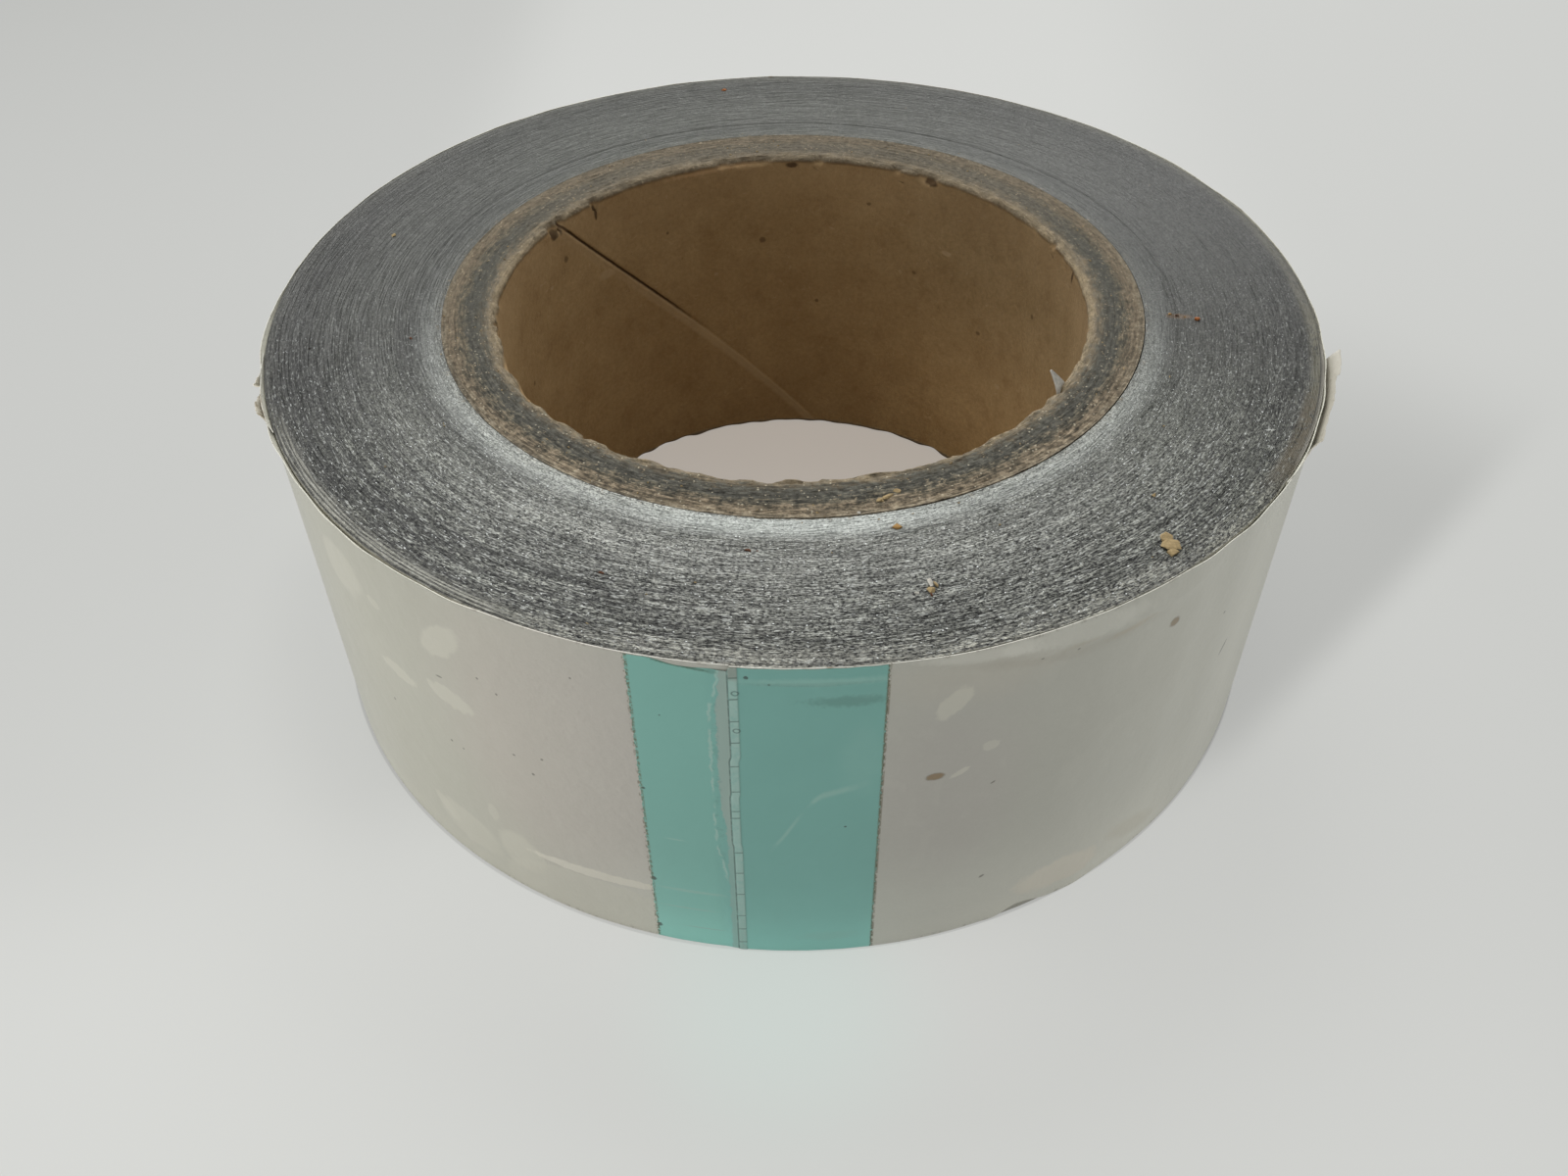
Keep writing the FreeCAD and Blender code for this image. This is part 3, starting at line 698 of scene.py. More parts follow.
liner = {
    "columns": 620,
    "ripple": 0.07,         # slow bulges, and the loose waves on the right
    "looseWaves": 0.10,
    # the crumpled band: angle, depth, fullness
    "crease": [
        (-82, 0.4, 0.1), (-79, 0.8, 0.5), (-76, 1.2, 0.9), (-71.6, 1.8, 1.0), (-67.9, 2.4, 1.0),
        (-64.4, 2.8, 1.0), (-59.2, 3.2, 0.9), (-56.3, 3.3, 0.7), (-51, 3.0, 0.4), (-46, 2.6, 0.0)],
    "creaseOut": 0.5,
    "creaseFoot": 2.6,      # how far the crease reaches down
    "flareFrom": -186, "flareTo": -108, "flareOut": 0.55,
    "footDent": -66.4,      # where the foot is dented, how high, and how far it is turned up beside it
    "footDentHeight": 1.4,
    "footTurned": 0.22,
    "footPushed": 0.3,
    "pushedOut": 0.16,      # how far the dented rim at the back right stands out
    # torn flap and tongues: angle, how far out
    "flap": [
        (-36, 0.05), (-32, 0.35), (-29.8, 0.5), (-28.5, 0.95), (-28.0, 1.3), (-26.8, 1.1), (-25.7, 1.0),
        (-22.8, 1.0), (-20.6, 1.2), (-16.6, 1.15), (-16.1, 1.6), (-13.3, 1.9), (-11.5, 2.05),
        (-11.3, 1.9)],
    "firstTongue": [
        (-168, 0.0), (-166, 0.1), (-164.4, 0.25), (-163.4, 0.65), (-162.4, 1.15), (-161.8, 0.6)],
    "secondTongue": [
        (-160.7, 0.35), (-160.3, 0.6), (-158.9, 1.2), (-157.2, 1.1), (-156.0, 0.5), (-153.4, 0.0)],
    "foldDrop": 1.9,        # how far below the top edge the paper folds
    "tornSlant": 1.3,       # how far the torn end of a flap leans, in degrees
    "seed": 37,
    "clouds": [((208, 200, 193), 0.6, 0.2, 0.5, [(-112, 31, 15, 22)]),
               ((204, 197, 190), 0.4, 0.3, 0.6, [(-76, 28, 8, 14)])],
    # painted light and shade round the roll: how light the paper looks from far left to far right
    "coating": [
        (0.05, (0.84, 0.84, 0.82)), (0.09, (0.94, 0.935, 0.90)), (0.14, (0.96, 0.95, 0.905)),
        (0.25, (1, 0.99, 0.95)), (0.42, (0.95, 0.95, 0.95)), (0.62, (0.86, 0.86, 0.86)),
        (0.74, (0.89, 0.89, 0.88)), (0.787, (0.96, 0.96, 0.95)), (0.828, (1.01, 1.01, 1.0)),
        (0.866, (1.01, 1.01, 1.0)), (0.90, (1.10, 1.10, 1.09)), (0.93, (1.01, 1.01, 0.99)),
        (0.955, (0.92, 0.915, 0.885))],
    "marks": [
        ((212, 212, 201), 0.3, 0.2, 0.8, [(-54, 19, 11, 9)]),
        ((206, 199, 184), 0.35, 0.2, 0.7, [(-74, 46.5, 9, 3.5)]),
        # paler patches where the adhesive behind has let go
        ((222, 219, 203), 1.25, 0.4, 0.16, [
            (-124.2, 41.6, 3.9, 1.9, 45, 0.5), (-132.6, 30.4, 3.0, 1.1, -4, 0.5),
            (-124.6, 32.3, 3.3, 1.5, -8, 0.5), (-139.0, 41.5, 4.0, 3.6, 0, 0.35),
            (-133.8, 40.5, 1.2, 0.7, -10, 0.35), (-122.5, 13.4, 0.8, 1.5, 0, 0.3),
            (-127.0, 6.5, 5.2, 3.2, -12, 0.4), (-119.4, 7.6, 3.6, 3.6, 0, 0.5),
            (-130.3, 7.4, 2.6, 1.2, -40, 0.4), (-76.1, 42.7, 2.6, 1.3, 52, 0.4),
            (-72.0, 34.6, 1.0, 0.8, 0, 0.3), (-74.7, 31.2, 1.3, 0.4, 30, 0.4)]),
        ((222, 219, 203), 0.45, 0.15, 0.06, [(-111.5, 3.2, 12.5, 5.4, 2)]),
        ((236, 231, 216), 0.8, 0.35, 0.12, [(-110.5, 9.6, 8.8, 0.8, 3)]),
        # crumpled band beside the tab, with a painted highlight where it faces up
        ((226, 225, 213), 0.45, 0.4, 0.4, [
            (-74.0, 49.1, 6.5, 0.7, -5), (-64.0, 48.6, 8.5, 1.4, -4), (-70.8, 49.1, 2.0, 0.7)]),
        # painted shadow under the crease
        ((156, 146, 128), 0.2, 0.5, 0.8, [(-71, 46.8, 6.0, 0.8, -12), (-61.5, 45.6, 6.5, 0.9, -2)]),
        # brown stains along the crease
        ((178, 160, 124), 0.28, 0.6, 0.7, [(-58.7, 45.8, 2.6, 0.5, 4)]),
        ((170, 156, 124), 0.2, 0.6, 0.7, [(-64.6, 46.8, 2.0, 0.35, 4)]),
        # stained foot on the right
        ((238, 231, 214), 0.65, 0.35, 0.2, [(-61.0, 4.4, 6.2, 2.4, -4)]),
        ((216, 210, 190), 0.4, 0.4, 0.5, [(-50.5, 4.4, 4.6, 1.7, -22)]),
        # stains with a darker rim
        ((112, 98, 78), 0.5, 0.2, 0.2, [
            (-77.1, 31.3, 1.07, 0.60, 0, 1.15), (-52.8, 42.4, 0.74, 0.72, 0, 0.8),
            (-87, 50, 0.42, 0.32)]),
        ((152, 130, 98), 0.75, 0.3, 0.2, [
            (-77.1, 31.3, 0.95, 0.48, 0, 1.15), (-52.8, 42.4, 0.62, 0.6, 0, 0.8), (-87, 50, 0.3, 0.2)]),
        # specks
        ((108, 104, 92), 0.7, 0.3, 0.3, [
            (-40.4, 28.1, 1.1, 0.25, 52), (-43.2, 36.3, 0.2, 0.2), (-70.8, 10.1, 0.36, 0.2, 30),
            (-71.2, 28.0, 0.32, 0.14, 30), (-64.7, 46.0, 0.18, 0.18), (-68.3, 46.3, 0.18, 0.14),
            (-117.6, 27.6, 0.2, 0.15), (-114.3, 28.8, 0.2, 0.16, 30), (-115.7, 25.4, 0.2, 0.2),
            (-125.5, 35.2, 0.5, 0.14, 10), (-135.5, 23.1, 0.2, 0.2), (-120.1, 38.6, 0.16, 0.16),
            (-118.1, 37.3, 0.16, 0.16), (-126.2, 23.8, 0.18, 0.18), (-124.6, 23.6, 0.16, 0.14),
            (-109.6, 44.2, 0.14, 0.14)]),
    ],
    # dirt held by the film's two edges: place along the tape, reach, how clean it stays
    "grime": [(roll["tabLead"] - 0.1, 0.22, 0.42), (-roll["tabTail"] + 0.02, 0.30, 0.50)],
}


def wallRadius(around):
    # outside of the liner, by the angle counted from the tape's end
    return roll["linerRadius"] - roll["tapeThickness"] * around / 360


def makeLiner(material):
    height = roll["height"]
    around = np.linspace(0.02, 359.98, liner["columns"])[:, None]
    # rows crowd towards the top edge, where the paper is creased and flared
    share = [np.linspace(0, 0.88, 30), np.linspace(0.893, 0.975, 14), np.linspace(0.98, 1, 6)]
    share = np.concatenate(share)[None, :]
    angle = roll["tapeEnd"] + around
    turn = np.radians(angle)
    topEdge = height - 0.06 - 0.05 * (1 + wander(3, turn, 5, 60, 0.4))
    footEdge = 0.01 + 0.02 * (1 + wander(4, turn, 3, 30, 0.5))
    dent = liner["footDent"]
    dented = between(angle, dent - 3.6, dent + 0.5, dent + 0.8, dent + 5)
    footEdge = footEdge + liner["footDentHeight"] * dented
    level = footEdge + (topEdge - footEdge) * share

    # slow bulges, stronger on the right where the paper is loose
    right = between(angle, -72, -55, -5, 10)
    ripple = wander(51, turn, 3, 18) * np.cos(level / 17)
    ripple = ripple + wander(52, turn, 4, 26) * np.sin(level / 9 + 1)
    out = liner["ripple"] * ripple * (0.5 + 0.6 * right)
    out = out + liner["looseWaves"] * right * wander(57, turn, 20, 60, 0.3) * rise(level, 4, 22)

    # crumpled band: full along the crease, leaning in above it, tucked in below
    angles, drops, fullness = np.array(liner["crease"]).T
    drop = np.interp(angle, angles, drops, left=0, right=0) * (1 + 0.10 * wander(53, turn, 12, 60, 0.4))
    full = np.interp(angle, angles, fullness, left=0, right=0) * (drop > 0)
    crease = height - np.maximum(drop, 0.3)
    above = np.clip((height - level) / np.maximum(drop, 0.3), 0, 1)
    below = np.clip(1 - (crease - level) / liner["creaseFoot"], 0, 1)
    ridge = np.where(level > crease, above ** 0.8, below ** 1.6)
    ridge = ridge * (1 + 0.22 * wander(54, turn, 30, 110, 0.2) * np.sin(level * 1.3 + 2))
    out = out + liner["creaseOut"] * full * ridge
    # top edge flared outwards, clear of the foil
    start, end = liner["flareFrom"], liner["flareTo"]
    flared = between(angle - 360, start, start + 16, end - 26, end)
    flared = flared + 0.5 * between(angle, -60, -46, -30, 0)
    lip = rise(level, height - 1.0, height) * (0.75 + 0.4 * wander(55, turn, 9, 60, 0.4))
    out = out + liner["flareOut"] * np.clip(flared, 0, 1) * lip
    # the foot is turned up to the right of the dent, with the paper puckered above it
    foot = between(angle, dent - 1.5, dent + 1.0, dent + 7, dent + 18) * rise(-level, -7.0, -1.0)
    out = out + liner["footTurned"] * foot * (1 + 0.5 * wander(58, turn, 20, 80, 0.3))
    out = out + liner["footPushed"] * bump(angle, dent - 1.6, 2.2) * rise(-level, -4.0, 0)
    # the rim is dented and pushed out a little at the back right
    pushed = 1 + wander(59, turn, 14, 34, 0.4)
    out = out + liner["pushedOut"] * bump(angle, 21, 24) * pushed * rise(level, 34, height)
    # flat under the tab
    out = out * rise(np.minimum(around, 360 - around), 13.2, 15.5)

    parts = [sheet(wallRadius(around) + out - 0.02, roll["linerThickness"], angle, level)]
    for number, name in enumerate(("flap", "firstTongue", "secondTongue")):
        parts.append(tornPaper(liner[name], liner["seed"] + number))
    shifts = np.cumsum([0] + [len(points) for points, _ in parts])
    points = np.concatenate([points for points, _ in parts])
    faces = np.concatenate([faces + shift for (_, faces), shift in zip(parts, shifts)])
    return addPiece("releaseLiner", points, faces, material, "release_liner", sharp=35)


def tornPaper(edge, seed):
    # paper that leans out from a fold just below the top edge of the wall
    rng = np.random.default_rng(seed)
    columns, rows = 80, 9
    angles, reaches = np.array(edge).T
    angle = np.linspace(angles[0], angles[-1], columns)[:, None]
    rough = np.convolve(rng.normal(size=columns), (0.25, 0.5, 0.25), "same")[:, None]
    reach = np.interp(angle, angles, reaches) * (1 + 0.05 * rough)
    share = np.linspace(0, 1, rows)[None, :]
    around = (angle - roll["tapeEnd"]) % 360
    fold = roll["height"] - liner["foldDrop"] * np.clip(reach / 1.2, 0.35, 1)
    # the last stretch is torn off on a slant
    angle = angle - liner["tornSlant"] * (1 - share) * rise(angle, angles[-1] - 5, angles[-1])
    level = fold + (roll["height"] - 0.04 - fold) * share * (1 - 0.10 * (reach > 1.5) * share)
    level = np.minimum(level + 0.06 * rough * share, roll["height"] + 0.1)
    radius = wallRadius(around) + 0.01 + reach * share ** 1.35
    return sheet(radius, roll["linerThickness"], angle, level)


def linerFinish():
    mix = Recipe("coatedPaper")
    height, wall = roll["height"], roll["linerRadius"]
    mix.tone = mix.blend(mix.cloud(0.045, 3.0, 0.5), (199, 198, 187), (209, 208, 197))
    mix.marks(liner["clouds"])
    # painted light and shade across the roll, from far left to far right
    coating = mix.ramp(mix.toRight * 0.5 + 0.5, [(at, (*share, 1)) for at, share in liner["coating"]])
    mix.tone = mix.vector("MULTIPLY", mix.tone, coating)
    # painted light towards the foot, most beside the tab
    foot = mix.soft(mix.z, 22, -3) * (mix.arc(-76, 32, 8) * 0.34 + 0.06)
    mix.shade(mix.soft(mix.z, 6, 0) * 0.11 + foot + 1)
    grain = mix.cloud(3.0, 3.0, 0.6)
    mix.shade(grain * 0.07 + 0.965)
    wide = mix.noise(mix.vector("MULTIPLY", mix.place, (1, 1, 0.6)), 0.22, 3.0, 0.55, 0.8)
    mix.coat(mix.soft(wide, 0.56, 0.66) * 0.07, (220, 218, 206))
    mix.marks(liner["marks"])

    along = mix.measure("DOT_PRODUCT", mix.place, direction(roll["tapeEnd"] + 90))
    facing = mix.arc(roll["tapeEnd"], 40)
    grime = mix.cloud(1.5, 4.0, 0.75)
    for edge, reach, clean in liner["grime"]:
        caught = mix.line(along, edge, reach, reach * 0.4) * facing * mix.soft(grime, clean, clean + 0.1)
        mix.coat(caught * 0.7, (118, 108, 84))

    # raw paper where it is torn; the flap is painted darker as shade, with a painted shadow in its fold
    torn = mix.soft(mix.radius, wall + 0.12, wall + 0.3) * mix.soft(mix.z, height - 6, height - 5)
    normal = mix.node("ShaderNodeNewGeometry").outputs["True Normal"]
    facing = mix.measure("DOT_PRODUCT", normal, mix.heading)
    paintedFoldShadow = torn * mix.soft(mix.radius, wall + 0.75, wall + 0.35) * mix.soft(facing, 0.0, -0.3)
    onFlap = mix.arc(-25, 15, 2)
    # the flap painted darker than the paper, as shade
    mix.coat(torn * onFlap * 0.92, (160, 156, 143))
    mix.coat(paintedFoldShadow * onFlap * 0.6, (92, 87, 74))
    mix.coat(torn * mix.arc(-161, 7, 2) * 0.85, (184, 178, 162))
    stain = mix.soft(mix.cloud(0.9, 3.0, 0.6), 0.42, 0.6) * mix.arc(-158, 3.2, 1)
    mix.coat(torn * stain * 0.7, (126, 114, 90))
    # dirt along the top edge and the foot
    dirt = mix.soft(mix.noise(mix.polar(90, 1.0, 1.2), 1.0, 4.0, 0.7), 0.5, 0.66)
    mix.coat(mix.soft(mix.z, height - 0.55, height - 0.15) * dirt * 0.5, (124, 116, 100))
    mix.coat(mix.soft(mix.z, 0.8, 0.1) * dirt * 0.4, (128, 120, 104))
    return mix.finish(0.38, mix.cloud(0.35, 3.0, 0.6) * 1.2 + grain * 0.15, 0.12, specular=0.4)


makeLiner(linerFinish())
print("liner done")


tab = {
    "tent": 2.2,            # where the film bridges the step
    "inset": 0.25,
    "ridgeWidth": 0.95,     # film drawn up over the tape's end
    "ridgeHeight": 0.07,
    "cracks": [1.6, 4.4, 7.2, 11.6, 15.8, 19.7, 26.0, 27.2, 30.6, 34.8, 38.6, 41.9, 45.2, 48.3],
    "frayed": 0.05,         # how far the two cut edges wander
    "puckerHeight": 0.035,
    "wrinkleHeight": 0.05,
    "rows": 190,
    "seed": 61,
    "rings": [46.2, 40.6],      # heights of the rings pressed into the ridge
    "ringOutside": (0.42, 0.36),
    "ringInside": (0.26, 0.22),
    # dark spots, then pale streaks on the left
    "spots": [
        ((58, 78, 72), 0.85, 0.3, 0.3, [
            (-93.9, 48.5, 0.24, 0.24), (-92.0, 47.6, 0.14, 0.14), (-85.2, 24.6, 0.14, 0.14),
            (-101.6, 41.5, 0.1, 0.1), (-104.0, 12.2, 0.36, 0.36), (-104.0, 2.6, 0.38, 0.38),
            (-103.9, 29.0, 0.2, 0.2)]),
        ((168, 206, 194), 0.5, 0.5, 0.5, [
            (-100.0, 10.8, 3.6, 0.28), (-100.6, 7.2, 3.0, 0.16), (-101.3, 20.6, 1.1, 0.12),
            (-99.0, 3.4, 2.2, 0.12)]),
    ],
    # clouds on the right, drawn adhesive along the top edge, and painted shade and a painted highlight along
    # the wrinkles
    "clouds": [
        ((164, 208, 196), 0.14, 0.3, 0.5, [(-83.9, 35.5, 2.2, 5.0)]),
        ((72, 108, 88), 1, 0.4, 0.3, [
            (-100.1, 49.4, 2.2, 0.24, -8, 0.7), (-98.2, 49.05, 1.3, 0.2, -8, 0.6),
            (-96.9, 48.9, 0.7, 0.3, -8, 0.35)]),
        # painted shade along the wrinkles below the top edge, and a painted highlight above them
        ((92, 138, 128), 0.5, 0.6, 0.5, [(-85.3, 45.0, 3.8, 0.75)]),
        ((92, 136, 126), 0.4, 0.5, 0.6, [(-88.5, 47.6, 5.5, 0.25)]),
        ((164, 208, 196), 0.4, 0.5, 0.6, [(-87.5, 47.9, 7.5, 0.5)]),
        ((156, 204, 192), 0.3, 0.5, 0.6, [(-86.5, 3.2, 3.0, 0.8)]),
    ],
    # dirt caught by the adhesive along both edges: place along the tape, how clean it stays, strength
    "grime": [(roll["tabLead"] - 0.1, 0.36, 0.9), (-roll["tabTail"] + 0.1, 0.42, 0.85)],
}


def makeTab(material):
    height, film, ridge = roll["height"], roll["filmThickness"], tab["ridgeWidth"]
    left = np.linspace(-roll["tabTail"], -3.2, 20)
    # columns crowd at the step and the ridge
    middle = np.array([-2.9, -2.6, -2.35, -2.1, -1.85, -1.6, -1.3, -1.0, -0.7, -0.45, -0.25, -0.1, 0.0,
                       0.1, 0.22, 0.38, 0.55, 0.7, 0.82, 0.92, 1.02, 1.15, 1.35, 1.7])
    right = np.linspace(2.2, roll["tabLead"], 34)
    along = np.concatenate([left, middle, right])[:, None]
    share = np.linspace(0, 1, tab["rows"])[None, :]
    rng = np.random.default_rng(tab["seed"])

    # both cut edges are slightly frayed, the top edge dips on the left of the step
    nibble = rng.normal(size=share.shape) * tab["frayed"]
    stray = np.where((along < -roll["tabTail"] + 0.01) | (along > roll["tabLead"] - 0.01), nibble, 0)
    dip = 0.55 * between(along, -8.0, -4.0, -0.25, 0.0) + 0.15 * bump(along, -5.6, 1.6)
    topEdge = height - tab["inset"] - dip + 0.03 * np.sin(along * 2.1)
    foot = tab["inset"] * 0.3 + 0.05 * np.sin(along * 0.8) ** 2
    level = foot + (topEdge - foot) * share
    along = along + stray + 0 * level
    degrees = along / roll["linerRadius"] * 180 / math.pi

    step = wallRadius(0) - wallRadius(360)
    ramp = rise(along, -tab["tent"], 0.0) * 0.5 + 0.5 * np.clip(1 + along / tab["tent"], 0, 1)
    radius = np.where(along >= 0, wallRadius(degrees), wallRadius(degrees + 360) + step * ramp)
    # the ridge steps sideways at two of its cracks
    drift = -0.14 - 0.20 * rise(-level, -36.6, -35.4) - 0.12 * between(level, 20.6, 21.6, 29.4, 30.4)
    bead = between(along, drift - 0.10, drift + 0.06, ridge + drift - 0.06, ridge + drift + 0.06)
    cracked = sum(bump(level, crack + 0.15 * (along - 0.4), 0.32) for crack in tab["cracks"])
    radius = radius + tab["ridgeHeight"] * bead * (1 - 0.9 * np.clip(cracked, 0, 1)) - 0.04
    # a puckered line where the film leaves the turn below
    pucker = -1.2 - 1.1 * between(level, 13, 23, 42, 49) + 0.12 * np.sin(level / 1.7)
    puckered = bump(along, pucker, 0.32) * (0.4 + 0.6 * np.abs(np.sin(level / 3.1)))
    radius = radius + tab["puckerHeight"] * puckered
    # wrinkles under the top edge of the right half, and one long soft crease lower down
    wrinkle = bump(level, height - 3.6 + 0.6 * np.sin(along * 0.9), 1.6) * between(along, 4, 7, 13, 15.2)
    radius = radius + tab["wrinkleHeight"] * wrinkle * (1 + np.sin(along * 1.5 + 0.6))
    wrinkle = bump(level, height - 1.5, 0.7) * rise(along, 1.5, 3.0)
    radius = radius + 0.03 * wrinkle * (1 + np.sin(along * 0.7))
    crease = 18.0 + 8.0 * rise(along, 4.0, 12.5)
    radius = radius + 0.02 * bump(level, crease, 0.8) * between(along, 3.5, 5.0, 11.5, 13.5)
    points, faces = sheet(radius + film, film, roll["tapeEnd"] + degrees, level)
    return addPiece("endTab", points, faces, material, "end_tab", sharp=30)


def tabFinish():
    mix = Recipe("tealFilm")
    level, along = mix.z, mix.measure("DOT_PRODUCT", mix.place, direction(roll["tapeEnd"] + 90))
    mix.tone = mix.blend(mix.cloud(0.09, 3.0, 0.5), (120, 177, 167), (129, 187, 177))
    # painted light on the film's left half, towards the light on the left
    mix.coat(mix.soft(along, -1.0, -3.0) * 0.45, (140, 200, 186))
    # painted light towards the foot
    mix.shade(mix.soft(level, 20, -1, 1.0, 1.3) * mix.soft(level, 9, -1, 1.03, 1.27))
    drift = mix.soft(level, 36.6, 35.4, -0.14, -0.34)
    drift = drift + mix.soft(level, 30.4, 29.4, 0, -0.12) * mix.soft(level, 20.6, 21.6)
    # loose beside the tape's end, with a puckered pale outline further out
    slow = mix.cloud(0.16, 3.0, 0.6) - 0.5
    crinkle = mix.cloud(0.8, 4.0, 0.7) * 1.1 - 0.55
    border = mix.band(level, 24, 28, 43, 48) * -0.5 + (crinkle - 1.12)
    loose = mix.soft(along - border, -0.1, 0.15) * mix.soft(along - drift, 0.02, -0.06)
    mix.coat(loose * mix.soft(level, 14, 28, 0.45, 0.82), (166, 184, 175))
    border = mix.band(level, 12, 23, 42, 49) * -1.1 + (crinkle - 1.2)
    outline = mix.line(along, border, 0.22, 0.06) * mix.soft(level, 13, 16)
    mix.coat(outline * mix.soft(mix.cloud(0.5, 2.0), 0.36, 0.52) * 0.7, (172, 206, 195))
    inside = mix.soft(along - border, 0.0, 0.2) * mix.soft(along, -1.2, -1.5)
    inside = inside * mix.soft(mix.cloud(1.2, 3.0, 0.6), 0.5, 0.62)
    mix.coat(inside * mix.soft(level, 14, 18) * 0.3, (104, 150, 140))
    # the ridge over the tape's end: paler, dark along both sides, cracked across
    ridge = along - drift
    onRidge = mix.band(ridge, -0.04, 0.1, 0.86, 1.0)
    chips = mix.cloud(1.3, 4.0, 0.65)
    mix.coat(onRidge * mix.soft(chips, 0.3, 0.6, 0.6, 1.0) * 0.9, (172, 206, 196))
    mix.coat(onRidge * mix.soft(level, 47.6, 48.6) * 0.7, (150, 152, 142))
    for side, strength in ((-0.05, 0.8), (0.95, 0.22)):
        edge = mix.line(ridge, side, 0.16, 0.03) * mix.soft(chips, 0.25, 0.55, 0.35, 1.0)
        mix.coat(edge * strength, (72, 98, 92))
    cracks = None
    for height in tab["cracks"]:
        line = mix.line(level, ridge * 0.15 + height, 0.16, 0.04)
        cracks = mix.calc("MAXIMUM", cracks, line) if cracks else line
    mix.coat(cracks * onRidge * 0.75, (84, 112, 104))
    for height in tab["rings"]:
        outer, inner = [mix.spot(roll["tapeEnd"] + 0.45, height, *half, 0.1, 0.2)
                        for half in (tab["ringOutside"], tab["ringInside"])]
        mix.coat(mix.calc("MAXIMUM", outer - inner, 0) * 0.7, (70, 98, 92))
    mix.marks(tab["spots"])
    # a scratch that climbs in an arc on the right
    arc = mix.soft(along, 2.6, 9.5) * 8.2 + (along * 0.35 + 18.8)
    arc = mix.line(level, arc, 0.8, 0.1) * mix.soft(along, 3.2, 4.6) * mix.soft(along, 15.0, 10.5)
    mix.coat(arc * mix.soft(slow, -0.2, 0.05) * 0.6, (160, 202, 190))
    mix.marks(tab["clouds"])
    grime = mix.cloud(2.1, 4.0, 0.8)
    for edge, clean, strength in tab["grime"]:
        caught = mix.line(along, grime * 0.4 - 0.2 + edge, 0.32, 0.112)
        caught = caught * mix.soft(grime, clean, clean + 0.14)
        mix.coat(caught * strength, (106, 100, 70))
    return mix.finish(0.26, mix.cloud(0.3, 3.0) + chips * onRidge, 0.08)


makeTab(tabFinish())
print("tab done")


crumbs = {
    # radius, angle, length, width, tone
    "bits": [
        (63.3, -51.6, 2.6, 2.3, "tan"), (62.2, -51.2, 1.7, 1.9, "tan"), (64.2, -52.3, 1.8, 1.2, "tan"),
        (47.8, -76.8, 1.5, 1.1, "ochre"), (56.9, -75.9, 0.6, 1.5, "white"), (58.0, -76.1, 1.0, 1.2, "tan"),
        (58.6, -76.2, 0.5, 0.7, "brown"), (57.9, -77.6, 0.6, 0.5, "white"), (57.4, -75.4, 0.35, 1.2, "tan"),
        (56.2, -63.0, 0.6, 0.5, "dark"), (50.4, -95.3, 0.9, 0.5, "brown"), (50.4, -94.2, 0.4, 0.25, "brown"),
        (57.0, -110.1, 0.8, 0.5, "brown"), (51.6, -7.8, 0.8, 1.2, "rust"), (50.2, -7.3, 0.3, 0.4, "ochre"),
        (49.2, -7.0, 0.4, 0.5, "brown"), (48.3, -6.8, 0.5, 0.6, "ochre"), (57.2, 164.9, 1.1, 0.9, "tan"),
        (62.3, 100.2, 1.1, 0.8, "rust"), (61.2, -168.0, 0.5, 0.5, "dark"), (48.9, -167.5, 0.8, 0.5, "brown"),
        (57.0, -46.7, 1.0, 0.5, "tan"), (42.8, -76.1, 1.6, 0.7, "tan"), (43.2, -77.4, 1.3, 0.6, "tan"),
        (42.2, -74.4, 1.1, 0.7, "tan"), (44.8, -80.8, 0.7, 0.4, "white"), (45.3, -89.5, 1.6, 0.25, "white"),
    ],
    "dust": 90,
    "sunk": 0.24,                   # how far the crumbs lie below the roll's height
    "corners": 14,
    "burr": (-32.4, 3.4, 3.3),      # paper burr on the core's rim: angle, width, height
    # tone: colour, slot
    "tones": {"tan": ((176, 154, 112), "core_board"), "ochre": ((178, 140, 84), "core_board"),
              "rust": ((168, 102, 54), "core_board"), "brown": ((104, 66, 44), "core_board"),
              "white": ((226, 222, 210), "liner_paper"), "dark": ((58, 54, 48), "foil")},
    "seed": 71,
}


def crumbFinish(name, colour):
    mix = Recipe(name + "Crumb")
    fleck = mix.cloud(2.5, 4.0, 0.6)
    mix.tone = mix.blend(fleck, tuple(channel * 0.6 for channel in colour), colour)
    return mix.finish(0.8, fleck, 0.1, specular=0.2)


def turned(x, y, turn):
    return x * math.cos(turn) - y * math.sin(turn), x * math.sin(turn) + y * math.cos(turn)


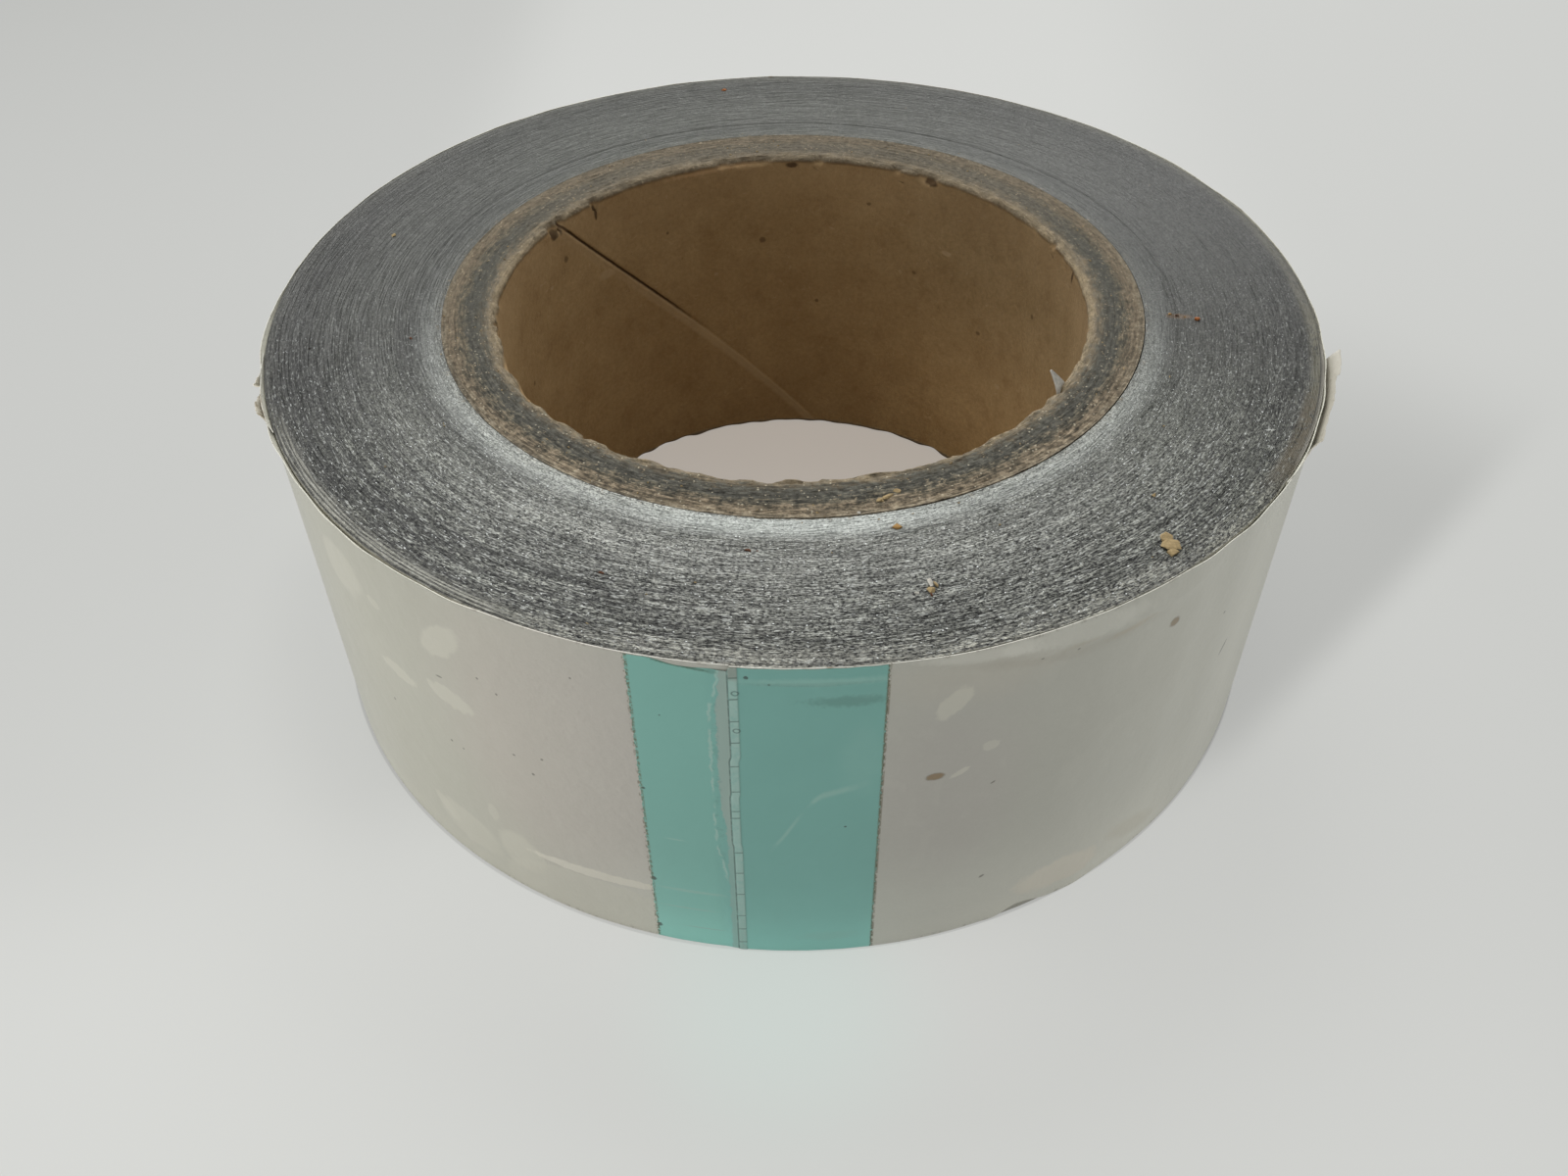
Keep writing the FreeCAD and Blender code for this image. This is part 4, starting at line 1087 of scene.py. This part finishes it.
def makeCrumbs():
    rng = np.random.default_rng(crumbs["seed"])
    bits = list(crumbs["bits"])
    for _ in range(crumbs["dust"]):
        # most of the dust lies on the board, the rest on the foil
        radius = rng.choice([rng.uniform(39.5, 46.5), rng.uniform(46, 65)], p=[0.75, 0.25])
        angle, length = rng.uniform(-180, 180), rng.uniform(0.2, 0.5)
        bits.append((radius, angle, length, rng.uniform(0.15, 0.3), "tan"))
    for tone, (colour, slot) in crumbs["tones"].items():
        shape = bmesh.new()
        for radius, angle, length, width, kind in bits:
            if kind != tone:
                continue
            spin = rng.uniform(-0.6, 0.6)
            low = roll["height"] - crumbs["sunk"]
            tall = 0.2 + min(0.5, width * 0.3)
            cloud = []
            for _ in range(crumbs["corners"]):
                p = rng.normal(size=3)
                p /= np.linalg.norm(p) * rng.uniform(0.95, 1.25)
                x, y = turned(p[0] * width / 2, p[1] * length / 2, spin)
                x, y = turned(x + radius, y, math.radians(angle))
                cloud.append(shape.verts.new((x, y, low + tall * (0.5 + 0.5 * p[2]))))
            hull = bmesh.ops.convex_hull(shape, input=cloud)
            loose = [item for item in hull["geom_interior"] if isinstance(item, bmesh.types.BMVert)]
            bmesh.ops.delete(shape, geom=loose, context="VERTS")
        shape.verts.index_update()
        points = [tuple(v.co) for v in shape.verts]
        faces = [[v.index for v in face.verts] for face in shape.faces]
        shape.free()
        addPiece(tone + "Crumbs", points, faces, crumbFinish(tone, colour), sharp=None)


def makeBurr(material):
    angle, width, tall = crumbs["burr"]
    across = np.linspace(-0.5, 0.5, 5)[:, None]
    up = np.linspace(0, 1, 6)[None, :]
    reach = roll["boreRadius"] + 0.35 - 1.8 * up ** 1.5 + 0.3 * across ** 2
    lean = np.degrees((across * (1 - 0.9 * up) - 0.16 * up) * width / roll["boreRadius"])
    level = roll["height"] - 1.9 + tall * up + 0.1 * across
    points, faces = sheet(reach + 0.09, 0.09, angle + lean, level)
    addPiece("rimBurr", points, faces, material, sharp=None)


makeCrumbs()
makeBurr(bpy.data.materials["whiteCrumb"])
print("crumbs done")


studio = {
    "floorTone": (205, 206, 204),
    "floorOwnLight": 0.78,      # how much of the floor's tone stays in the shadow
    "shadow": 0.77,             # the floor's level in the weak shadow, and close to the wall
    "contactShadow": 0.62,
    "worldTone": (255, 255, 255),
    "worldLevel": 0.90,
    "frontShade": 0.75,         # darker towards the side the camera is on
    "darkSide": (0.24, -0.96, 0.12),
    "lamps": [
        # place, size, watts
        ((-0.10, 0.42, 0.58), 0.5, 3.4),
        ((-0.60, 0.00, 0.35), 0.4, 0.8),
    ],
    "lampAim": (0.0, 0.0, 0.02),
    "cameraPlace": (0.0, -0.15494, 0.14505),
    "cameraTurns": (0.52, 90 - 43.82, -0.50),    # to the side, up from straight down, and roll
    "lens": 31.27,
}


def makeStudio():
    scene = bpy.context.scene
    scene.view_settings.view_transform = "Standard"
    floor = bpy.data.meshes.new("floor")
    floor.from_pydata([(-3, -3, 0), (3, -3, 0), (3, 3, 0), (-3, 3, 0)], [], [(0, 1, 2, 3)])
    floorPiece = bpy.data.objects.new("floor", floor)
    scene.collection.objects.link(floorPiece)
    floor.materials.append(floorFinish())
    makeRoom(scene)

    aim = Vector(studio["lampAim"])
    for number, (place, size, power) in enumerate(studio["lamps"]):
        lamp = bpy.data.lights.new(f"lamp{number}", "AREA")
        lamp.shape, lamp.size, lamp.energy = "DISK", size, power
        holder = bpy.data.objects.new(f"lamp{number}", lamp)
        holder.location = place
        holder.rotation_euler = (aim - Vector(place)).to_track_quat("-Z", "Y").to_euler()
        scene.collection.objects.link(holder)

    camera = bpy.data.cameras.new("camera")
    camera.lens, camera.sensor_width = studio["lens"], 36
    camera.clip_start = 0.005
    holder = bpy.data.objects.new("camera", camera)
    held = Matrix.Translation(studio["cameraPlace"])
    for turn, axis in zip(studio["cameraTurns"], "ZXZ"):
        held = held @ Matrix.Rotation(math.radians(turn), 4, axis)
    holder.matrix_world = held
    scene.collection.objects.link(holder)
    scene.camera = holder


def floorFinish():
    # seen directly or in a reflection, part of the tone is the floor's own, so shadows stay light
    mix = Recipe("paleFloor")

    def tone(red, green, blue):
        # the floor's tone, with this much added
        return tuple(base + more for base, more in zip(studio["floorTone"], (red, green, blue)))

    def along(angle):
        return mix.measure("DOT_PRODUCT", mix.place, direction(angle))

    # painted shade on the floor: darker towards the far left, on the left and on the far right
    farLeft = mix.soft(mix.y - mix.x, 80, 640)
    mix.tone = mix.blend(farLeft, tone(2, 2, 1), tone(-20, -20, -21))
    left = mix.soft(mix.x, -45, -95) * mix.soft(mix.y, -85, -35)
    mix.shade(mix.soft(left, 0, 1, 1.0, 0.88))
    mix.shade(mix.soft(mix.x, 68, 115, 1.0, 0.94))
    # painted weak shadow of the roll, falling to its back right
    shadow = mix.soft(abs(along(-45)), 73.5, 62) * mix.band(along(45), -5, 20, 60, 150)
    mix.shade(mix.soft(shadow, 0, 1, 1.0, studio["shadow"]))
    contact = mix.line(mix.radius, roll["linerRadius"] - 0.05, 0.42, 0.1)
    mix.shade(mix.soft(contact, 0, 1, 1.0, studio["contactShadow"]))
    # painted light on the floor in front of the wall, and painted shade beside it on the far left
    mix.shade(mix.arc(-102, 32, 12) * mix.soft(mix.radius, 92, 68) * 0.1 + 1)
    mix.shade(mix.arc(-163, 24, 10) * mix.soft(mix.radius, 86, 70) * -0.12 + 1)
    mix.coat(mix.cloud(0.004, 2.0) * 0.2, tone(-8, -8, -8))
    # painted warm light bounced from the board inside the core
    mix.coat(mix.soft(mix.radius, roll["boreRadius"] + 2.5, roll["boreRadius"]), tone(-18, -28, -36))
    # painted light bounced from the wall onto the floor in front of it, and a painted teal reflection from
    # the film
    near = mix.soft(mix.measure("DISTANCE", mix.place, (-25, -95, 0)), 150, 20)
    mix.coat(near * 0.45, tone(14, 14, 12))
    paintedFilmGlow = mix.soft(mix.measure("DISTANCE", mix.place, (-1, -74, 0)), 24, 3)
    mix.coat(paintedFilmGlow * 0.5, tone(6, 18, 14))
    mix.finish(0.6, specular=0.2)
    path = mix.node("ShaderNodeLightPath").outputs
    seen = mix.calc("MAXIMUM", path["Is Glossy Ray"], path["Is Transmission Ray"])
    seen = mix.calc("MAXIMUM", path["Is Camera Ray"], seen)
    glow = mix.node("ShaderNodeEmission")
    mix.plug(glow.inputs["Color"], mix.tone)
    both = mix.node("ShaderNodeMixShader")
    mix.plugAll(both, seen * studio["floorOwnLight"], mix.shader.outputs[0], glow.outputs[0])
    mix.plug(mix.tree.nodes["Material Output"].inputs["Surface"], both.outputs[0])
    return mix.material


def makeRoom(scene):
    world = bpy.data.worlds.new("softRoom")
    scene.world = world
    world.use_nodes = True
    nodes, links = world.node_tree.nodes, world.node_tree.links
    background = nodes["Background"]
    where = nodes.new("ShaderNodeTexCoord").outputs["Generated"]
    facing = nodes.new("ShaderNodeVectorMath")
    facing.operation = "DOT_PRODUCT"
    links.new(where, facing.inputs[0])
    facing.inputs[1].default_value = studio["darkSide"]
    shade = nodes.new("ShaderNodeMapRange")
    shade.interpolation_type = "SMOOTHSTEP"
    links.new(facing.outputs["Value"], shade.inputs[0])
    bright = studio["worldLevel"]
    levels = (0.1, 0.95, bright, bright * (1 - studio["frontShade"]))
    for socket, number in zip(list(shade.inputs)[1:5], levels):
        socket.default_value = number
    links.new(shade.outputs[0], background.inputs["Strength"])
    background.inputs["Color"].default_value = paint(studio["worldTone"])


makeStudio()
print("studio done")
